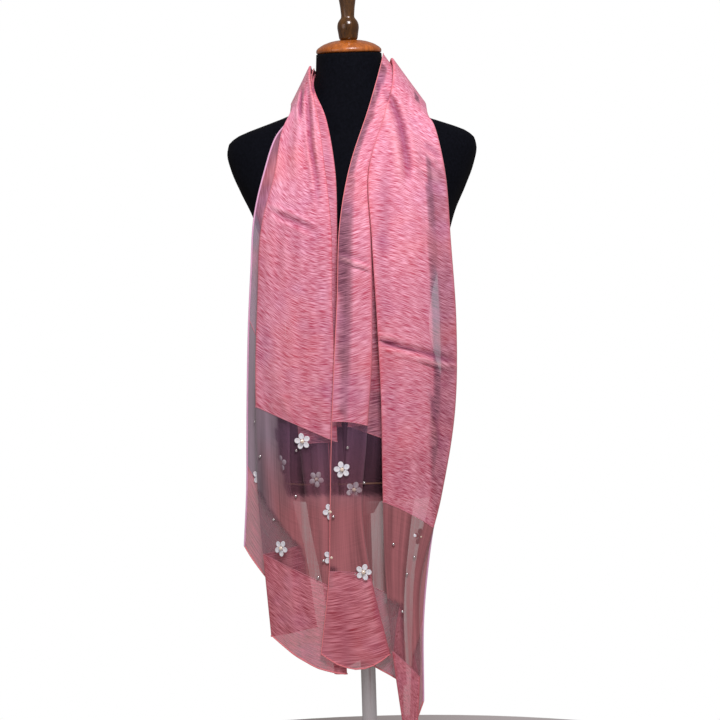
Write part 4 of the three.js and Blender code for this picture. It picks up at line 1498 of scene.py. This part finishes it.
# %% Petal ring tree
def build_petal_ring():
    g = GeometryTree("petal_ring", [("Petals", "NodeSocketInt", 5), ("Material", "NodeSocketMaterial", None)])
    spots = g.add("GeometryNodePoints", Count=g.given["Petals"])
    index = g.add("GeometryNodeInputIndex").outputs[0]
    step = g.add("ShaderNodeMath", {"operation": "DIVIDE"}, in0=2 * math.pi, in1=g.given["Petals"])
    turn = g.add("ShaderNodeMath", {"operation": "MULTIPLY"}, in0=index, in1=step.outputs[0])
    rotation = g.add("ShaderNodeCombineXYZ", Z=turn.outputs[0])
    ring = g.add(
        "GeometryNodeInstanceOnPoints",
        Points=spots.outputs[0], Instance=g.given["Geometry"], Rotation=rotation.outputs[0],
    )
    return g.finish(ring.outputs[0])


def build_beads():
    g = GeometryTree("beads", [
        ("Radius", "NodeSocketFloat", 0.002), ("Segments", "NodeSocketInt", 20), ("Seed", "NodeSocketInt", 4),
        ("Material", "NodeSocketMaterial", None),
    ])
    spots = g.add("GeometryNodeMeshToPoints", Mesh=g.given["Geometry"])
    bead = g.add("GeometryNodeMeshUVSphere", Segments=g.given["Segments"], Rings=12, Radius=g.given["Radius"])
    size = g.add("FunctionNodeRandomValue", {"data_type": "FLOAT"}, in2=0.94, in3=1.06, Seed=g.given["Seed"])
    placed = g.add(
        "GeometryNodeInstanceOnPoints", Points=spots.outputs[0], Instance=bead.outputs[0], Scale=size.outputs[1]
    )
    return g.finish(placed.outputs[0])


PETAL_RING, BEADS = build_petal_ring(), build_beads()


# %% One petal
# A petal's middle from the flower's centre, its half length and its half width, mm.
PETAL_OUT, PETAL_LONG, PETAL_WIDE = 7.3, 4.6, 3.95


def petal_mesh():
    """A cupped oval plate, 0.84 mm thick at its middle, from near the centre to the edge."""
    rings, sides = 5, 22
    points, faces = [], []
    for face_side in (1, -1):
        for ring in range(rings + 1):
            share = ring / rings
            for k in range(sides):
                t = 2 * math.pi * k / sides
                r = share if ring < rings else 0.985
                x = PETAL_OUT + PETAL_LONG * r * math.cos(t)
                y = PETAL_WIDE * r * math.sin(t)
                cup = 0.75 * share**2 + 0.25 * (share * math.sin(t)) ** 2
                thick = 0.42 * math.sqrt(max(1 - share**4, 0.02))
                points.append((x, y, 0.72 + cup + face_side * thick))
    at = lambda side, ring, k: (side * (rings + 1) + ring) * sides + k % sides
    for side in (0, 1):
        for ring in range(rings):
            for k in range(sides):
                face = [at(side, ring, k), at(side, ring + 1, k), at(side, ring + 1, k + 1), at(side, ring, k + 1)]
                faces.append(face if side == 0 else face[::-1])
    for k in range(sides):
        faces.append([at(0, rings, k), at(1, rings, k), at(1, rings, k + 1), at(0, rings, k + 1)])
    obj = new_mesh_object("petal", points, faces)
    shape = bmesh.new()
    shape.from_mesh(obj.data)
    bmesh.ops.remove_doubles(shape, verts=shape.verts, dist=1e-6)
    bmesh.ops.recalc_face_normals(shape, faces=shape.faces)
    shape.to_mesh(obj.data)
    shape.free()
    return obj


# %% Petal, pearl and bead materials
def petal_material():
    material, nodes, bsdf = new_material("shell_petal")
    place = nodes.place()
    cloudy = nodes.noise(place, 160.0, 3.0)
    ripple = nodes.add("ShaderNodeTexWave", Vector=place, Scale=130.0, Distortion=6.0).outputs["Fac"]
    tone = nodes.weigh((cloudy, 0.6), (ripple, 0.4))
    # The bluish clouds and ripples are painted sheen, standing in for the shell's iridescence.
    colour = nodes.mix(nodes.spread(tone, 0.3, 0.7), (0.72, 0.8, 0.92, 1), (0.97, 0.96, 0.95, 1))
    nodes.fill(bsdf.inputs["Base Color"], colour)
    bump(nodes, bsdf, ripple, 0.08, 0.0003)
    settle(bsdf, Roughness=0.22, Coat_Weight=0.7, Coat_Roughness=0.06)
    return material


def pearl_material():
    material, nodes, bsdf = new_material("ivory_pearl")
    place = nodes.place()
    cloudy = nodes.spread(nodes.noise(place, 300.0, 2.0), 0.35, 0.75)
    nodes.fill(bsdf.inputs["Base Color"], nodes.mix(cloudy, (0.8, 0.66, 0.5, 1), (1, 0.93, 0.82, 1)))
    settle(bsdf, Roughness=0.18, Coat_Weight=1.0, Coat_Roughness=0.04)
    return material


def silver_material():
    material, nodes, bsdf = new_material("silver_bead")
    place = nodes.place()
    rub = nodes.noise(place, 500.0, 2.0)
    nodes.fill(bsdf.inputs["Base Color"], nodes.mix(rub, (0.5, 0.49, 0.5, 1), (0.82, 0.8, 0.8, 1)))
    nodes.fill(bsdf.inputs["Roughness"], nodes.spread(rub, 0.3, 0.7, 0.1, 0.3))
    settle(bsdf, Metallic=1.0)
    return material


PETAL, PEARL, SILVER = petal_material(), pearl_material(), silver_material()
flower = grow("flower", petal_mesh(), PETAL_RING, Petals=5, Material=PETAL)

# %% [markdown]
# ### Sewing the flowers on
# A flower belongs to one panel of a sheer band. Its place is a share of the way across the panel
# and a distance above the hem along the cloth. Those on the reverse are seen from behind through
# the organza, with their pearls on the far side.

# %% Flower places
# tail, panel, share across, distance above the hem (mm), face (1 is outwards), turn in degrees
FLOWERS = [
    ("left", 4, 0.42, 322, 1, 10), ("left", 4, 0.74, 150, 1, 40), ("left", 4, 0.1, 230, 1, 25),
    ("left", 4, 0.11, 165, 1, 55), ("left", 6, 0.7, 140, 1, 60), ("left", 3, 0.36, 278, -1, 30),
    ("left", 5, 0.68, 240, -1, 5), ("right", 0, 0.34, 280, 1, 12), ("right", 0, 0.84, 130, 1, 55),
    ("right", 2, 0.13, 245, 1, 48), ("right", 3, 0.71, 279, -1, 20), ("right", 4, 0.78, 317, -1, 70),
]


def on_cloth(tail, panel, share, up):
    """Point and front-facing normal of the fallen cloth at a place on a panel, mm."""
    step = 0.03 if share < 0.95 else -0.03
    near = np.array([(panel, s, 0.0, PANEL_LAYERS[panel] * LAYER) for s in (share, share + step)])
    pair = Threads(near)
    reach = (lambda up: np.full(2, up)) if tail == "left" else (lambda up: pair.length - up)
    points, _ = pair.rows(reach(up), reach(up + 2), 2)
    points = hang(points)
    normal = Vector(np.cross(points[0, 1] - points[0, 0], points[1, 0] - points[0, 0])).normalized()
    return Vector(points[0, 0]), normal if normal.y < 0 else -normal


flowers, pearl_places = [], []
petal_points = np.array([v.co for v in flower.data.vertices]) / MM
for k, (tail, panel, share, up, face, turn) in enumerate(FLOWERS, 1):
    point, normal = on_cloth(tail, panel, share, up)
    facing = normal * face
    spin = facing.to_track_quat("Z", "X").to_matrix() @ Matrix.Rotation(math.radians(turn), 3, "Z")
    mesh = flower.data.copy()
    placed = petal_points @ np.array(spin).T + np.array(point + facing * 0.5)
    mesh.vertices.foreach_set("co", (placed * MM).ravel())
    mesh.update()
    piece = bpy.data.objects.new(f"shell_flower_{k}", mesh)
    scene.collection.objects.link(piece)
    flowers.append(piece)
    pearl_places.append(point + facing * 2.6)
bpy.data.objects.remove(flower)


def point_host(places):
    mesh = bpy.data.meshes.new("places")
    mesh.from_pydata([tuple(Vector(p) * MM) for p in places], [], [])
    obj = bpy.data.objects.new("places", mesh)
    scene.collection.objects.link(obj)
    return obj


pearls = grow("flower_pearls", point_host(pearl_places), BEADS, Radius=0.003, Material=PEARL)

# %% Beads
# Places of the silver beads seen from the front: (x, z) in mm. Each is set on the outermost organza.
BEADS_AT = [
    (-151, 661), (-145, 611), (-19, 622), (-92, 619), (-96, 554), (-42, 525), (-128, 520),
    (-58, 462), (-66, 438), (3, 571), (41, 484), (70, 465), (-13, 442), (59, 441), (50, 388),
]


def front_of(places, sheets, lift):
    """Casts a ray from the front at each place and gives the points just proud of the cloth."""
    graph = bpy.context.evaluated_depsgraph_get()
    found = []
    for x, z in places:
        hits = []
        for sheet in sheets:
            start = Vector((x * MM, -1, z * MM))
            hit, point, normal, _ = sheet.ray_cast(start, Vector((0, 1, 0)), depsgraph=graph)
            if hit:
                hits.append((point.y, point, normal if normal.y < 0 else -normal))
        if hits:
            _, point, normal = min(hits, key=lambda h: h[0])
            found.append(point / MM + normal * lift)
        else:
            print("no cloth at", x, z)
    return found


bead_places = front_of(BEADS_AT, (left_sheer, right_sheer), 1.6)
beads = grow("silver_beads", point_host(bead_places), BEADS, Radius=0.0021, Material=SILVER)

# %% [markdown]
# ## Handing the pieces over
# Each piece rides on the part's one body, stands for the plain solids that it replaces, and is
# listed in its finish. The five sheets state the rectangle that each was cut from.

# %% Sheets, riders and slots
def cut_size(sheet, points):
    """Width and length of the rectangle that a sheet was cut from, in metres."""
    length = np.linalg.norm(np.diff(points, axis=1), axis=2).sum(axis=1).mean() * MM
    area = sum(face.area for face in sheet.data.polygons)
    return round(area / length, 3), round(length, 3)


flat_sizes = {
    "middle": cut_size(middle, middle_points),
    "left_sheer": cut_size(left_sheer, left_sheer_points),
    "right_sheer": cut_size(right_sheer, right_sheer_points),
    "left_end": cut_size(left_end, left_end_points),
    "right_end": cut_size(right_end, right_end_points),
}
print("flat sizes, m:", flat_sizes)

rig.replaces(middle, "left_front", "round_neck", "right_front")
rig.replaces(left_sheer, "left_sheer_band")
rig.replaces(right_sheer, "right_sheer_band")
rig.replaces(left_end, "left_end_band")
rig.replaces(right_end, "right_end_band")
for k, piece in enumerate(flowers, 1):
    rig.replaces(piece, f"flower_{k}")
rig.replaces(form_cover, "form_torso")
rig.replaces(lower_cover, "form_lower_band")
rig.replaces(cap, "neck_cap")
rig.replaces(finial, "finial")
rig.replaces(base, "base_disc")
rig.replaces(pole, "pole")
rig.replaces(low_collar, "base_collar")
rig.replaces(high_collar, "form_collar")

SLOTS = {
    "crepe": [
        middle, left_end, right_end, inner_selvedge, outer_selvedge, hems, hem_stitches, seams, seam_stitches,
    ],
    "sheer_cloth": [left_sheer, right_sheer],
    "flower_shell": flowers + [pearls],
    "form_cover": [form_cover],
    "form_tape": [lower_cover, gold_line],
    "cap_wood": [cap, base],
    "dark_wood": [finial],
    "stand_metal": [pole, low_collar, high_collar, beads],
}
for slot, pieces in SLOTS.items():
    for piece in pieces:
        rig.ride(piece, "root")
        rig.slot(piece, slot)

left_flowers = [piece for piece, place in zip(flowers, FLOWERS) if place[0] == "left"]
right_flowers = [piece for piece, place in zip(flowers, FLOWERS) if place[0] == "right"]
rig.sheet(
    middle, flat_sizes["middle"], "draped", rests_on=["form_cover"],
    with_pieces=[seams, seam_stitches, inner_selvedge, outer_selvedge],
)
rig.sheet(
    left_sheer, flat_sizes["left_sheer"], "hung", rests_on=["middle_crepe"],
    with_pieces=left_flowers + [pearls, beads],
)
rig.sheet(right_sheer, flat_sizes["right_sheer"], "hung", rests_on=["middle_crepe"], with_pieces=right_flowers)
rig.sheet(left_end, flat_sizes["left_end"], "hung", rests_on=["left_organza"], with_pieces=[hems, hem_stitches])
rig.sheet(right_end, flat_sizes["right_end"], "hung", rests_on=["right_organza"])

# %% Sizes and the end
with open("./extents.json", "w") as out:
    json.dump({"cad": [list(map(float, corner)) for corner in solid_box], "visual": [list(map(float, corner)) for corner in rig.bounds()]}, out)
print(open("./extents.json").read())
